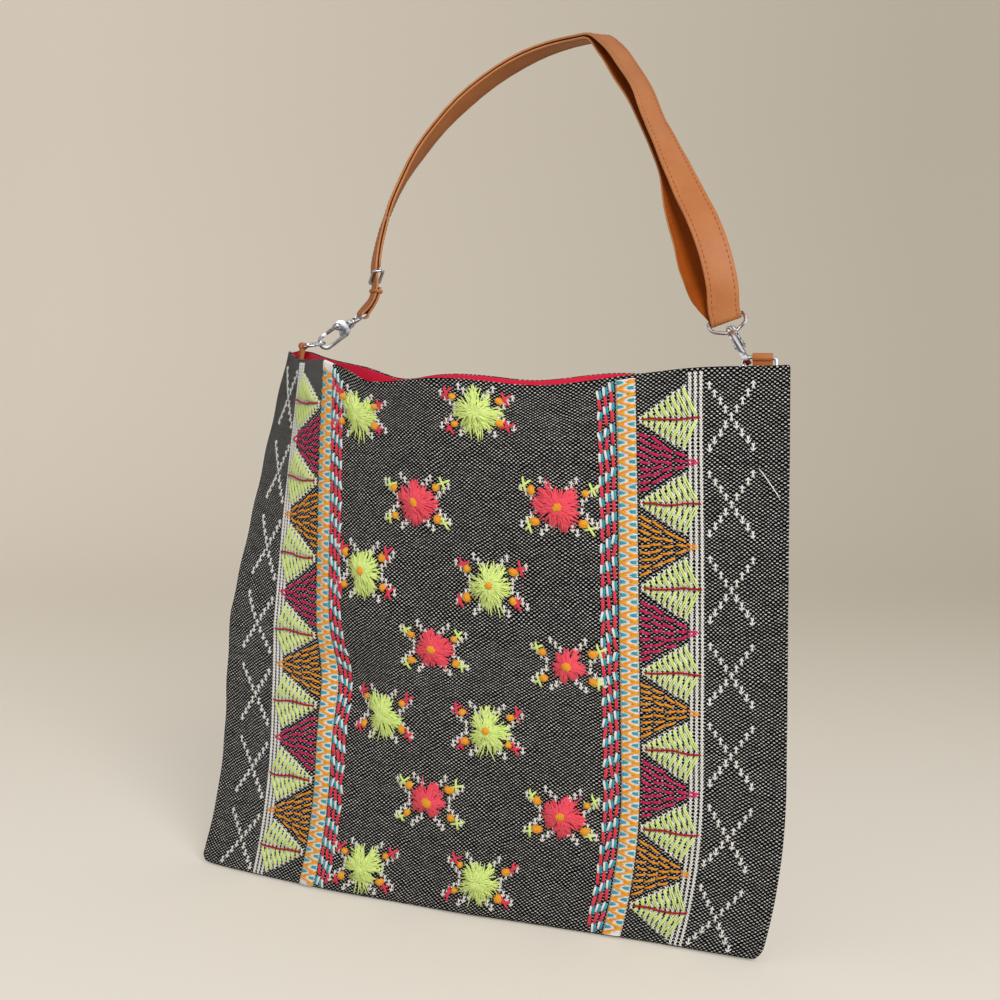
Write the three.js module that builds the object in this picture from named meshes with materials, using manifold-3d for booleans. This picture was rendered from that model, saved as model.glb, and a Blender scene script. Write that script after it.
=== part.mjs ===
// Tote bag of black and white plain weave cotton with folk embroidery, leather strap and metal hooks.
// Millimetres, +Z up, front of the bag towards -Y. The origin is the underside of the strap's top.
import * as THREE from "three";
import { mergeVertices } from "three/addons/utils/BufferGeometryUtils.js";
import ManifoldModule from "manifold-3d";

const wasm = await ManifoldModule();
wasm.setup();
const { Manifold, Mesh: ManifoldMesh } = wasm;

// Bag as sewn, laid flat
const bagWidth = 546;
const bagHeight = 478;
const clothThickness = 2.2;
const liningThickness = 1.0;
const layerGap = 0.35;
const mouthOpening = 17;
const liningInset = 9;
const liningFloor = 10;

// How the hanging bag curves, in degrees of turn about +Z
const leftTurnTop = 57;
const leftTurnMiddle = 26;
const leftTurnBottom = 12;
const rightTurnTop = -5.2;
const rightTurnBottom = 2.2;
const turnStart = 0.12;

// Sways and sags of the cloth
const lowerSwing = 18.5;
const topLean = 22.8;
const bottomLean = 11.8;
const mouthSag = 9;
const hemSag = 4;
const slumpDepth = 7.6;
const slumpHeight = 255;

// Embroidery: bands and triangles keep their distance from the side seams, flowers share what is left
const halfWidth = bagWidth / 2;
const bandWidth = 15.5;
const bandGap = 0.5;
const dashTo = halfWidth - 135;
const dashFrom = dashTo - bandWidth;
const zigzagFrom = dashTo + bandGap;
const zigzagTo = zigzagFrom + bandWidth;
const triangleTip = zigzagTo + 1;
const triangleBase = triangleTip + 51;
const firstRow = 31;
const lastRowDrop = 37.8;
const rowPitch = (bagHeight - firstRow - lastRowDrop) / 6;
const tuftRadius = 17.5;
const tuftHeight = 4;
const columnMargin = 12.75;
const columnPitch = (dashFrom - tuftRadius - columnMargin) / 1.5;
const columnCentre = -1;
const ladderWidth = 12;
const trimGap = 0.5;
const trimHeight = 0.7;

// Leather and metal
const strapWidth = 25;
const strapThickness = 2.2;
const strapGap = 0.8;
const wireRadius = 1.4;
const clearance = 0.3;
const tabCentre = halfWidth - 22;
const tabWidth = 15;
const tabThickness = 1.6;
const tabLeg = 18;
const barHeight = 7;
const ringWidth = 26;
const ringDepth = 20;
const ringCorner = 4;
const bowRadius = 4.4;
const armWidth = 3;
const plateHalf = 2;
const noseHeight = 4;
const shoulderHeight = 25;
const collarHeight = 4.6;
const postRadius = 1.8;
const eyeBar = 43;
const gatePivot = [5.8, 16.8];
const pinRadius = 0.9;

const V = (x, y, z) => new THREE.Vector3(x, y, z);
const rad = THREE.MathUtils.degToRad;
const smooth = (a) => THREE.MathUtils.smoothstep(a, 0, 1);
const bell = (a) => Math.exp(-a * a);

// Turn of the cloth about +Z at a share u of the half width and v of the height
function turnAt(u, v) {
  const lower = THREE.MathUtils.lerp(leftTurnBottom, leftTurnMiddle, Math.min(1, v * 2));
  const left = v < 0.5 ? lower : THREE.MathUtils.lerp(leftTurnMiddle, leftTurnTop, v * 2 - 1);
  const right = THREE.MathUtils.lerp(rightTurnBottom, rightTurnTop, v);
  if (u < turnStart) return rad((left * (turnStart - u)) / (turnStart + 1));
  return rad((right * (u - turnStart)) / (1 - turnStart));
}

// Point of the bag's front face, s across and t up the cloth, moved back by depth
function bagPoint(s, t, depth = 0) {
  const u = s / halfWidth;
  const v = t / bagHeight;
  const steps = 24;
  let x = 0;
  let y = 0;
  for (let i = 0; i < steps; i += 1) {
    const turn = turnAt((u * (i + 0.5)) / steps, v);
    x += (Math.cos(turn) * s) / steps;
    y -= (Math.sin(turn) * s) / steps;
  }
  x -= lowerSwing * Math.max(0, 1 - v / 0.3) ** 2;
  y += bottomLean * (1 - v) ** 2 - topLean * v * v;
  const middle = 1 - u * u;
  const sag = mouthSag * smooth((v - 0.4) / 0.6) + hemSag * smooth((v - 0.88) / 0.12);
  const slump = slumpDepth * bell((t - slumpHeight) / 51);
  const turn = turnAt(u, v);
  return V(x + Math.sin(turn) * depth, y + Math.cos(turn) * depth, t - (sag + slump) * middle);
}

// Distance from the front face to the back face
function bagDepth(s, t) {
  const seam = 2 * clothThickness + layerGap;
  const full = 2 * (clothThickness + liningThickness + layerGap) + mouthOpening;
  const side = Math.sqrt(Math.max(0, 1 - Math.abs(s / halfWidth) ** 10));
  const foot = Math.sqrt(Math.max(0, 1 - (1 - t / bagHeight) ** 14));
  return seam + (full - seam) * side * foot;
}

// Grid lines of the cloth: closer where it bends
const acrossStops = [-273, -264, -250, -235, -219, -202, -185, -168, -152, -138, -124, -110, -94, -76, -56,
  -32, 0, 36, 76, 122, 170, 214, 244, 264, 273].map((a) => (a / 273) * halfWidth);
const upStops = [0, 9, 31, 62, 98, 134, 168, 198, 228, 258, 292, 330, 372, 414, 448, 466, 478]
  .map((a) => (a / 478) * bagHeight);

function stopsBetween(stops, from, to, extra = []) {
  const inside = stops.filter((a) => a > from + 1 && a < to - 1);
  const free = inside.filter((a) => extra.every((b) => Math.abs(a - b) > 1.5));
  return [from, ...free, ...extra, to].sort((a, b) => a - b);
}

// Point on the flat facets of the cloth's grid, so that trims lie parallel to them
function facetPoint(s, t, depth) {
  const column = acrossStops.findIndex((a, i) => i > 0 && s <= a + 1e-6);
  const row = upStops.findIndex((a, i) => i > 0 && t <= a + 1e-6);
  const [s0, s1] = [acrossStops[column - 1], acrossStops[column]];
  const [t0, t1] = [upStops[row - 1], upStops[row]];
  const a = (s - s0) / (s1 - s0);
  const b = (t - t0) / (t1 - t0);
  const low = bagPoint(s0, t0, depth).lerp(bagPoint(s1, t0, depth), a);
  const high = bagPoint(s0, t1, depth).lerp(bagPoint(s1, t1, depth), a);
  return low.lerp(high, b);
}

function solidFrom(points, triangles) {
  const geometry = new THREE.BufferGeometry();
  geometry.setAttribute("position", new THREE.Float32BufferAttribute(points.flatMap((p) => p.toArray()), 3));
  geometry.setIndex(triangles.flat());
  geometry.computeVertexNormals();
  return geometry;
}

// Closed slab over a grid of columns s and rows(s): front and back surfaces plus the rim
function slab({ columns, rows, keep = () => true, front, back }) {
  const rowCount = rows(columns[0]).length;
  const points = [];
  for (const place of [front, back]) {
    columns.forEach((s) => rows(s).forEach((t, j) => points.push(place(s, t, j))));
  }
  const half = columns.length * rowCount;
  const at = (i, j) => i * rowCount + j;
  const kept = (i, j) => i >= 0 && j >= 0 && i < columns.length - 1 && j < rowCount - 1 && keep(i, j);
  const triangles = [];
  for (let i = 0; i < columns.length - 1; i += 1) {
    for (let j = 0; j < rowCount - 1; j += 1) {
      if (!kept(i, j)) continue;
      const [a, b, c, d] = [at(i, j), at(i + 1, j), at(i + 1, j + 1), at(i, j + 1)];
      triangles.push([a, b, c], [a, c, d]);
      triangles.push([a + half, c + half, b + half], [a + half, d + half, c + half]);
      const rim = (p, q) => triangles.push([p, p + half, q + half], [p, q + half, q]);
      if (!kept(i, j - 1)) rim(a, b);
      if (!kept(i + 1, j)) rim(b, c);
      if (!kept(i, j + 1)) rim(c, d);
      if (!kept(i - 1, j)) rim(d, a);
    }
  }
  return solidFrom(points, triangles);
}

const parts = new THREE.Group();
parts.name = "tote_bag";

function add(name, geometry, material) {
  const mesh = new THREE.Mesh(geometry, material);
  mesh.name = name;
  parts.add(mesh);
}

function finish(name, color, roughness, metalness = 0) {
  const material = new THREE.MeshStandardMaterial({ color, roughness, metalness });
  material.name = name;
  return material;
}

const woven = finish("woven_cotton", 0x35353a, 0.95);
const lining = finish("lining_cotton", 0xe83a5a, 0.85);
const whiteYarn = finish("white_yarn", 0xf3eee2, 0.9);
const orangeYarn = finish("orange_yarn", 0xf0951f, 0.9);
const magentaYarn = finish("magenta_yarn", 0xd81e66, 0.9);
const pinkYarn = finish("pink_yarn", 0xf2405e, 0.9);
const greenYarn = finish("green_yarn", 0xc0ee78, 0.9);
const coralYarn = finish("coral_yarn", 0xe8445f, 0.9);
const tanLeather = finish("tan_leather", 0xb5703a, 0.55);
const steel = finish("polished_steel", 0xc9c9cc, 0.25, 1);

// Cloth and lining of each face
const wall = clothThickness + layerGap;
const faces = [
  ["front_panel", woven, () => 0, () => clothThickness, 0, 0],
  ["lining_front", lining, () => wall, () => wall + liningThickness, liningInset, liningFloor],
  ["lining_back", lining, (d) => d - wall - liningThickness, (d) => d - wall, liningInset, liningFloor],
  ["back_panel", woven, (d) => d - clothThickness, (d) => d, 0, 0],
];
for (const [name, material, near, far, inset, floor] of faces) {
  const top = inset ? bagHeight - 1.5 : bagHeight;
  const columns = inset ? acrossStops.slice(1, -1) : acrossStops;
  const levels = inset ? [...upStops.slice(1, -1), top] : upStops;
  const place = (face) => (s, t) => bagPoint(s, t, face(bagDepth(s, t)));
  add(name, slab({ columns, rows: () => levels, front: place(near), back: place(far) }), material);
}

// Trims on the front face, from one depth outside the cloth to another
const trimPlace = (out) => (s, t) => facetPoint(s, t, -out);
const trimBack = trimPlace(trimGap);
const trimFront = trimPlace(trimGap + trimHeight);
const mirrored = (values, side) => (side > 0 ? values : values.map((a) => -a).reverse());
const band = (side, from, to) => {
  const [a, b] = mirrored([from, to], side);
  const levels = stopsBetween(upStops, 2, bagHeight - 2);
  return slab({ columns: stopsBetween(acrossStops, a, b), rows: () => levels, front: trimFront, back: trimBack });
};

// Row heights of the seven triangle repeats at each distance from the bag's middle line
const rowsUp = [0, 1, 2, 3, 4, 5, 6].map((k) => firstRow + k * rowPitch);
const greenHalf = (s) => 0.8 + ((Math.min(Math.abs(s), triangleBase - ladderWidth) - triangleTip) * 27)
  / (triangleBase - ladderWidth - triangleTip);
const colourHalf = (s) => 0.8 + ((triangleBase - 8 - Math.abs(s)) * 26) / (triangleBase - 8 - triangleTip);

for (const [sideName, side] of [["left", -1], ["right", 1]]) {
  add(`${sideName}_zigzag_band`, band(side, zigzagFrom, zigzagTo), orangeYarn);
  add(`${sideName}_dash_band`, band(side, dashFrom, dashTo), coralYarn);
  const ladderEdge = triangleBase - ladderWidth;
  const [a, b] = mirrored([triangleTip, triangleBase], side);
  const columns = stopsBetween(acrossStops, a, b, [side * ladderEdge]);
  const comb = slab({
    columns,
    rows: (s) => rowsUp.flatMap((t) => [-1, -0.5, 0, 0.5, 1].map((a) => t + a * greenHalf(s))),
    keep: (i, j) => j % 5 !== 4 || Math.min(Math.abs(columns[i]), Math.abs(columns[i + 1])) >= ladderEdge - 0.01,
    front: trimFront,
    back: trimBack,
  });
  add(`${sideName}_green_triangles`, comb, greenYarn);
  rowsUp.slice(1).forEach((t, k) => {
    const middle = t - rowPitch / 2;
    const [c, d] = mirrored([triangleTip, ladderEdge - 2], side);
    const wedge = slab({
      columns: stopsBetween(acrossStops, c, d),
      rows: (s) => [middle - colourHalf(s), middle, middle + colourHalf(s)],
      front: trimFront,
      back: trimBack,
    });
    const magenta = k % 2 === 1;
    add(`${sideName}_${magenta ? "magenta" : "orange"}_triangle_${k + 1}`, wedge, magenta ? magentaYarn : orangeYarn);
  });
}

// Tufted flowers: low domes on every second crossing of the four columns and seven rows
rowsUp.forEach((t, row) => {
  [-1.5, -0.5, 0.5, 1.5].forEach((step, column) => {
    if ((row + column) % 2 !== 0) return;
    const s0 = columnCentre + step * columnPitch;
    const t0 = t - 1;
    const ends = [-0.98, -0.7, 0, 0.7, 0.98].map((a) => s0 + a * tuftRadius);
    const rise = (s, u) => tuftHeight * Math.max(0, 1 - Math.hypot(s - s0, u - t0) / tuftRadius) ** 0.6;
    const dome = slab({
      columns: stopsBetween(acrossStops, ends[0], ends[4], ends.slice(1, 4)),
      rows: (s) => {
        const reach = Math.sqrt(Math.max(1, tuftRadius ** 2 - (s - s0) ** 2));
        return [-1, -0.6, 0, 0.6, 1].map((a) => t0 + a * reach);
      },
      front: (s, u) => facetPoint(s, u, -(trimGap + trimHeight + rise(s, u))),
      back: trimBack,
    });
    const green = row % 2 === 0;
    add(`${green ? "green" : "pink"}_tuft_${row + 1}_${column + 1}`, dome, green ? greenYarn : pinkYarn);
  });
});

// Solids joined and cut
function toManifold(geometry) {
  const bare = new THREE.BufferGeometry();
  bare.setAttribute("position", geometry.attributes.position);
  if (geometry.index) bare.setIndex(geometry.index);
  const merged = mergeVertices(bare, 1e-4);
  const vertProperties = new Float32Array(merged.attributes.position.array);
  const triVerts = new Uint32Array(merged.index.array);
  return new Manifold(new ManifoldMesh({ numProp: 3, vertProperties, triVerts }));
}

function fromManifold(solid) {
  const mesh = solid.getMesh();
  const geometry = new THREE.BufferGeometry();
  geometry.setAttribute("position", new THREE.BufferAttribute(new Float32Array(mesh.vertProperties), 3));
  geometry.setIndex(Array.from(mesh.triVerts));
  geometry.computeVertexNormals();
  return geometry;
}

const joined = (...list) => list.map(toManifold).reduce((a, b) => a.add(b));
const placed = (geometry, origin, x, y, z) => geometry.applyMatrix4(
  new THREE.Matrix4().makeBasis(x, y, z).setPosition(origin));

// Plate between two heights from an outline with holes
function plate(outline, from, to, holes = []) {
  const corners = outline.map(([x, y]) => new THREE.Vector2(x, y));
  if (THREE.ShapeUtils.isClockWise(corners)) corners.reverse();
  const shape = new THREE.Shape(corners);
  for (const [x, y, r] of holes) {
    const ring = Array.from({ length: 14 }, (_, i) => {
      const angle = (-2 * Math.PI * i) / 14;
      return new THREE.Vector2(x + r * Math.cos(angle), y + r * Math.sin(angle));
    });
    shape.holes.push(new THREE.Path(ring));
  }
  const geometry = new THREE.ExtrudeGeometry(shape, { depth: to - from, bevelEnabled: false, curveSegments: 14 });
  return geometry.translate(0, 0, from);
}

const barrel = (radius, from, to) => new THREE.CylinderGeometry(radius, radius, to - from, 20)
  .translate(0, (from + to) / 2, 0);
const arc = (x, y, r, from, to, steps) => Array.from({ length: steps + 1 }, (_, i) => {
  const angle = rad(from + ((to - from) * i) / steps);
  return [x + r * Math.cos(angle), y + r * Math.sin(angle)];
});

// Round wire along a closed flat outline, in the outline's own plane
function wireLoop(outline, radius, sides = 8) {
  const points = [];
  const triangles = [];
  const count = outline.length;
  outline.forEach(([x, y], i) => {
    const [px, py] = outline[(i + count - 1) % count];
    const [nx, ny] = outline[(i + 1) % count];
    const before = V(x - px, y - py, 0).normalize();
    const after = V(nx - x, ny - y, 0).normalize();
    const along = before.clone().add(after).normalize();
    const across = V(-along.y, along.x, 0);
    const reach = radius / along.dot(after);
    for (let k = 0; k < sides; k += 1) {
      const angle = (2 * Math.PI * k) / sides;
      points.push(V(x, y, radius * Math.sin(angle)).addScaledVector(across, reach * Math.cos(angle)));
      const [a, b] = [i * sides + k, i * sides + ((k + 1) % sides)];
      const [c, d] = [((i + 1) % count) * sides + k, ((i + 1) % count) * sides + ((k + 1) % sides)];
      triangles.push([a, b, d], [a, d, c]);
    }
  });
  return solidFrom(points, triangles);
}

// Flat strip swept along stations of point, direction and width
function ribbon(stations) {
  const points = [];
  const triangles = [];
  for (const { point, along, wide } of stations) {
    const across = wide.clone().addScaledVector(along, -wide.dot(along)).normalize();
    const inward = along.clone().cross(across);
    for (const [a, b] of [[-1, -1], [1, -1], [1, 1], [-1, 1]]) {
      points.push(point.clone().addScaledVector(across, (a * strapWidth) / 2)
        .addScaledVector(inward, (b * strapThickness) / 2));
    }
  }
  for (let i = 0; i < stations.length - 1; i += 1) {
    for (let k = 0; k < 4; k += 1) {
      const [a, b] = [i * 4 + k, i * 4 + ((k + 1) % 4)];
      triangles.push([a, b, b + 4], [a, b + 4, a + 4]);
    }
  }
  const end = (stations.length - 1) * 4;
  triangles.push([0, 3, 2], [0, 2, 1], [end, end + 1, end + 2], [end, end + 2, end + 3]);
  return solidFrom(points, triangles);
}

// Hardware of one side: where the tab, ring, hook and eye sit
const ringHalf = ringWidth / 2;
const up = V(0, 0, 1);

function sideFrame(side) {
  const s = side * tabCentre;
  const turn = turnAt(s / halfWidth, 1);
  const along = V(Math.cos(turn), -Math.sin(turn), 0);
  const inward = V(Math.sin(turn), Math.cos(turn), 0);
  const mouth = bagPoint(s, bagHeight, bagDepth(s, bagHeight) / 2);
  const below = bagPoint(s, bagHeight - tabLeg, bagDepth(s, bagHeight - tabLeg) / 2);
  const rise = mouth.clone().sub(below);
  rise.addScaledVector(along, -rise.dot(along)).normalize();
  const through = rise.clone().cross(along);
  return { along, inward, mouth, rise, through };
}

const frames = { left: sideFrame(-1), right: sideFrame(1) };
const tabBack = { left: 0, right: 1.4 };
const ringSlide = { left: 0, right: -2 };
const ringAim = {
  left: frames.left.inward.clone().addScaledVector(up, 0.14).normalize(),
  right: up.clone().negate().addScaledVector(frames.right.inward, -0.18).normalize(),
};
const eyeReach = { left: V(55.73, 6.76, 29.01), right: V(-30.9, 22.91, 35.01) };

// Wire outline of the D-ring: bar along x, bow towards y
const ringOutline = [
  ...arc(-ringHalf + ringCorner, ringCorner, ringCorner, 180, 270, 3),
  ...arc(ringHalf - ringCorner, ringCorner, ringCorner, 270, 360, 3),
  ...arc(0, ringCorner + 3, 1, 0, 180, 12).map(([x, y]) => [
    x * ringHalf, (y - ringCorner - 3) * (ringDepth - ringCorner - 3) + ringCorner + 3]),
];

const hardware = {};
for (const side of ["left", "right"]) {
  const { along, inward, mouth } = frames[side];
  const bar = mouth.clone().addScaledVector(frames[side].rise, barHeight).addScaledVector(inward, tabBack[side]);
  const ringX = along.clone();
  const ringY = ringAim[side];
  const ringZ = ringX.clone().cross(ringY);
  const ringOrigin = bar.clone().addScaledVector(along, ringSlide[side]);
  // The left hook holds the bow's end, the right hook the corner beside the bar
  const corner = rad(side === "left" ? 0 : 59);
  const hold = side === "left"
    ? ringOrigin.clone().addScaledVector(ringY, ringDepth)
    : ringOrigin.clone().addScaledVector(ringX, -ringHalf + ringCorner * (1 - Math.cos(corner)))
      .addScaledVector(ringY, ringCorner * (1 - Math.sin(corner)));
  const axis = mouth.clone().add(eyeReach[side]).sub(hold);
  let plateNormal = side === "left"
    ? along.clone().negate()
    : along.clone().multiplyScalar(Math.sin(corner)).addScaledVector(ringY, -Math.cos(corner));
  axis.addScaledVector(plateNormal, -axis.dot(plateNormal)).normalize();
  const acrossHook = axis.clone().cross(plateNormal);
  const bow = hold.clone().addScaledVector(axis, bowRadius - wireRadius - 4 * clearance);
  const eye = bow.clone().addScaledVector(axis, eyeBar);
  const eyeAlong = along.clone().addScaledVector(axis, -along.dot(axis)).normalize();
  hardware[side] = { bar, ringOrigin, ringX, ringY, ringZ, hold, bow, axis, acrossHook, plateNormal, eye, eyeAlong };
}

// Tab: folded leather round the ring's bar, its leg sewn down inside the mouth
const loopRadius = wireRadius + clearance + tabThickness;
const loopAngle = THREE.MathUtils.radToDeg(Math.asin(tabThickness / loopRadius));
const tabOutline = [
  [-tabThickness, -tabLeg - barHeight], [tabThickness, -tabLeg - barHeight],
  ...arc(0, 0, loopRadius, loopAngle - 90, 270 - loopAngle, 20),
];

// Hook: bow, back arm and shoulder in one plate, cheeks for the gate's pin, post and head
const bowOuter = bowRadius + armWidth;
const [pinX, pinY] = gatePivot;
const hookOutline = [
  [bowOuter, noseHeight], ...arc(0, 0, bowOuter, 0, -180, 14), [-bowOuter, 20], [-5, shoulderHeight],
  [5, shoulderHeight], [7.6, 22.6], [7.6, pinY + 3.2], [2.8, pinY + 3.2], [2.8, 17], [-bowRadius, 13.5],
  ...arc(0, 0, bowRadius, 180, 360, 12), [bowRadius, noseHeight],
];
const cheekOutline = [[-2, shoulderHeight], [5, shoulderHeight], [8.4, 22], [8.4, pinY - 2.6], [2.8, pinY - 2.6],
  [-2, pinY + 3.4]];
const blockOutline = [[-2, shoulderHeight], [5, shoulderHeight], [7.6, 22.6], [7.6, pinY + 3.2], [-2, pinY + 3.2]];
const cheekInner = plateHalf + clearance;
const cheekOuter = cheekInner + 1.2;
const pinHole = [pinX, pinY, pinRadius + clearance];
const collarFrom = shoulderHeight + clearance;
const collarTo = collarFrom + collarHeight;
const headFrom = collarTo + clearance;
const headTo = headFrom + 1.8;
const knuckle = 2.4;
const gateOutline = [
  [pinX - 1.3, noseHeight + 0.6], [pinX + 1.4, noseHeight + 0.6],
  ...arc(pinX, pinY, knuckle, -45, 225, 14),
];
const eyeCorner = 1.6;
const eyeHalf = strapWidth / 2 + clearance + eyeCorner;
const eyeOutline = [
  ...arc(eyeHalf - eyeCorner, eyeBar - eyeCorner, eyeCorner, 90, 0, 3), [eyeHalf, eyeBar - 7], [eyeHalf - 2, eyeBar - 10.5],
  [6.5, collarFrom + 3.4], [3.8, collarFrom + 2.3], [-3.8, collarFrom + 2.3], [-6.5, collarFrom + 3.4],
  [-eyeHalf + 2, eyeBar - 10.5], [-eyeHalf, eyeBar - 7], ...arc(-eyeHalf + eyeCorner, eyeBar - eyeCorner, eyeCorner, 180, 90, 3),
].reverse();

for (const side of ["left", "right"]) {
  const h = hardware[side];
  const { along, rise, through } = frames[side];
  const tab = plate(tabOutline, -tabWidth / 2, tabWidth / 2, [[0, 0, wireRadius + clearance]]);
  add(`${side}_tab`, placed(tab, h.bar, through.clone().negate(), rise, along.clone().negate()), tanLeather);
  add(`${side}_ring`, placed(wireLoop(ringOutline, wireRadius), h.ringOrigin, h.ringX, h.ringY, h.ringZ), steel);
  const body = joined(
    plate(hookOutline, -plateHalf, plateHalf),
    plate(blockOutline, -cheekOuter, cheekOuter),
    plate(cheekOutline, cheekInner, cheekOuter, [pinHole]),
    plate(cheekOutline, -cheekOuter, -cheekInner, [pinHole]),
    barrel(postRadius, shoulderHeight - 1, headTo - 0.5),
    barrel(3.2, headFrom, headTo),
  );
  const hookAxes = [h.bow, h.acrossHook, h.axis, h.plateNormal];
  add(`${side}_hook`, placed(fromManifold(body), ...hookAxes), steel);
  add(`${side}_gate`, placed(plate(gateOutline, -plateHalf + 0.1, plateHalf - 0.1, [pinHole]), ...hookAxes), steel);
  const rivet = joined(
    barrel(pinRadius, -cheekOuter - 0.9, cheekOuter + 0.9),
    barrel(pinRadius + 0.8, cheekOuter + 0.2, cheekOuter + 1),
    barrel(pinRadius + 0.8, -cheekOuter - 1, -cheekOuter - 0.2),
  );
  const pin = fromManifold(rivet).rotateX(Math.PI / 2).translate(pinX, pinY, 0);
  add(`${side}_gate_rivet`, placed(pin, ...hookAxes), steel);
  const eyeSolid = joined(wireLoop(eyeOutline, wireRadius), barrel(postRadius + clearance + 2, collarFrom, collarTo))
    .subtract(toManifold(barrel(postRadius + clearance, collarFrom - 2, collarTo + 2)));
  const eyeZ = h.eyeAlong.clone().cross(h.axis);
  add(`${side}_swivel_eye`, placed(fromManifold(eyeSolid), h.bow, h.eyeAlong, h.axis, eyeZ), steel);
}

// Strap: layers lie either side of a middle line, wide is the width's direction.
// Its stations are measured on a bag whose eyes hang at these two points, and follow the eyes.
const leftEye = hardware.left.eye;
const rightEye = hardware.right.eye;
const leftShift = leftEye.clone().sub(V(-158.5, 138.2, 511.7));
const rightShift = rightEye.clone().sub(V(214.2, 18.8, 512.2));
const topMiddle = V(50, 158, 752).add(leftShift.clone().lerp(rightShift, 0.5));
const following = (list, shift) => list.map(({ point, wide }) => ({ point: point.add(shift), wide }));
const half = (strapThickness + strapGap) / 2;
const foldRadiusMid = wireRadius + clearance + strapThickness / 2;
const station = (x, y, z, wx, wy, wz = 0) => ({ point: V(x, y, z), wide: V(wx, wy, wz).normalize() });
const topWide = V(-0.55, -0.83, 0).normalize();
const topAlong = V(0.83, -0.55, 0).normalize();
const topHalf = 14;
const topAt = (share, offset) => ({
  point: topMiddle.clone().addScaledVector(topAlong, share * topHalf).addScaledVector(up, -offset),
  wide: topWide.clone(),
});
const leftWide = frames.left.along;
const rightWide = hardware.right.eyeAlong.clone().negate();
const leftMiddle = following([
  station(-148, 140, 527, leftWide.x, leftWide.y), station(-146, 142, 539, leftWide.x, leftWide.y),
  station(-149, 146, 553, leftWide.x, leftWide.y), station(-148, 154, 580, 0.52, -0.85),
  station(-137, 168, 625, 0.35, -0.94), station(-110, 183, 674, 0, -1), station(-66, 189, 716, -0.3, -0.95),
  station(-10, 183, 744, -0.5, -0.87),
], leftShift);
const rightOuter = following([
  station(83, 133, 742, -0.5, -0.86), station(105, 111, 720, -0.45, -0.88), station(124, 90, 698, -0.4, -0.9),
  station(138, 72, 675, -0.45, -0.88), station(152, 57, 655, -0.6, -0.8), station(170, 38, 628, -0.8, -0.6),
  station(183, 28, 607, -0.9, -0.44), station(195, 20, 588, -0.93, -0.37), station(206, 14, 564, -0.93, -0.37),
  station(213, 12.5, 538, -0.93, -0.37),
], rightShift);
const rightInner = following([
  station(198, 20, 530, -0.9, -0.4), station(188, 24, 546, -0.7, -0.7), station(178, 29, 571, -0.5, -0.86),
  station(168, 37, 597, -0.45, -0.89), station(160, 50, 625, -0.45, -0.89), station(147, 68, 647, -0.45, -0.88),
  station(134, 82, 666, -0.4, -0.9), station(119, 98, 688, -0.42, -0.9), station(100, 116, 711, -0.5, -0.86),
  station(80, 137, 735, -0.55, -0.83),
], rightShift);

// Smooth line through stations; the first and last directions can be given
function smoothLine(list, perSpan, first, last) {
  const line = new THREE.CatmullRomCurve3(list.map((a) => a.point), false, "centripetal");
  const widths = new THREE.CatmullRomCurve3(list.map((a) => a.wide), false, "catmullrom");
  const count = (list.length - 1) * perSpan;
  return Array.from({ length: count + 1 }, (_, i) => {
    const a = i / count;
    const along = (i === 0 && first) || (i === count && last) || line.getTangent(a);
    return { point: line.getPoint(a), along: along.clone(), wide: widths.getPoint(a).normalize() };
  });
}

const squared = (a, to) => a.clone().addScaledVector(to, -a.dot(to)).normalize();

// Half turn round an eye's bar, from the side at +from to the other
function bend(centre, heading, wide, sense) {
  const down = squared(heading, wide);
  const sideways = down.clone().cross(wide).multiplyScalar(sense);
  return Array.from({ length: 7 }, (_, i) => {
    const angle = (Math.PI * i) / 6;
    const point = centre.clone().addScaledVector(sideways, foldRadiusMid * Math.cos(angle))
      .addScaledVector(down, foldRadiusMid * Math.sin(angle));
    const along = down.clone().multiplyScalar(Math.cos(angle)).addScaledVector(sideways, -Math.sin(angle));
    return { point, along, wide: wide.clone() };
  });
}

// Moves a line of stations towards the inside of the loop
const shifted = (list, offset) => list.map(({ point, along, wide }) => {
  const across = wide.clone().addScaledVector(along, -wide.dot(along)).normalize();
  return { point: point.clone().addScaledVector(along.clone().cross(across), offset), along, wide };
});

const leftStart = { point: leftEye, wide: leftWide };
const leftUp = squared(leftMiddle[0].point.clone().sub(leftEye), leftWide);
const middleLine = smoothLine([leftStart, ...leftMiddle, topAt(-1, 0)], 2, leftUp, topAlong);
const flare = (list, offset) => {
  const moved = shifted(list, offset);
  moved[0].point = shifted([list[0]], Math.sign(offset) * foldRadiusMid)[0].point;
  return moved;
};
const leftOuterLine = flare(middleLine, -half);
const leftInnerLine = flare(middleLine, half);
const keeperAt = 6;
const tail = leftInnerLine.slice(1, 4).reverse().map((a) => ({ ...a, along: a.along.clone().negate(),
  wide: a.wide.clone() }));
const leftBend = bend(leftEye, leftUp.clone().negate(), leftWide, -1);
const rightDown = squared(V(208, 17, 538).add(rightShift).sub(rightEye).negate(), rightWide);
const rightBend = bend(rightEye, rightDown, rightWide, -1);
const outerRight = smoothLine([topAt(1, -half), ...rightOuter, rightBend[0]], 2, topAlong, rightDown);
const innerRight = smoothLine([rightBend[6], ...rightInner, topAt(1, half)], 2, rightDown.clone().negate(),
  topAlong.clone().negate());
const innerLeft = leftInnerLine.slice(keeperAt).reverse().map((a) => ({ ...a, along: a.along.clone().negate() }));
const stations = [...tail, ...leftBend, ...leftOuterLine.slice(1), ...outerRight, ...rightBend.slice(1, 6),
  ...innerRight, ...innerLeft];
add("strap", ribbon(stations), tanLeather);

// The origin goes to the underside of the strap's top
const rest = topMiddle.clone().addScaledVector(up, -half - strapThickness / 2);
parts.children.forEach((mesh) => mesh.geometry.translate(-rest.x, -rest.y, -rest.z));

export default parts;
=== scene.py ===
import math
import random

import bmesh
import bpy
from mathutils import Matrix, Vector


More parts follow.
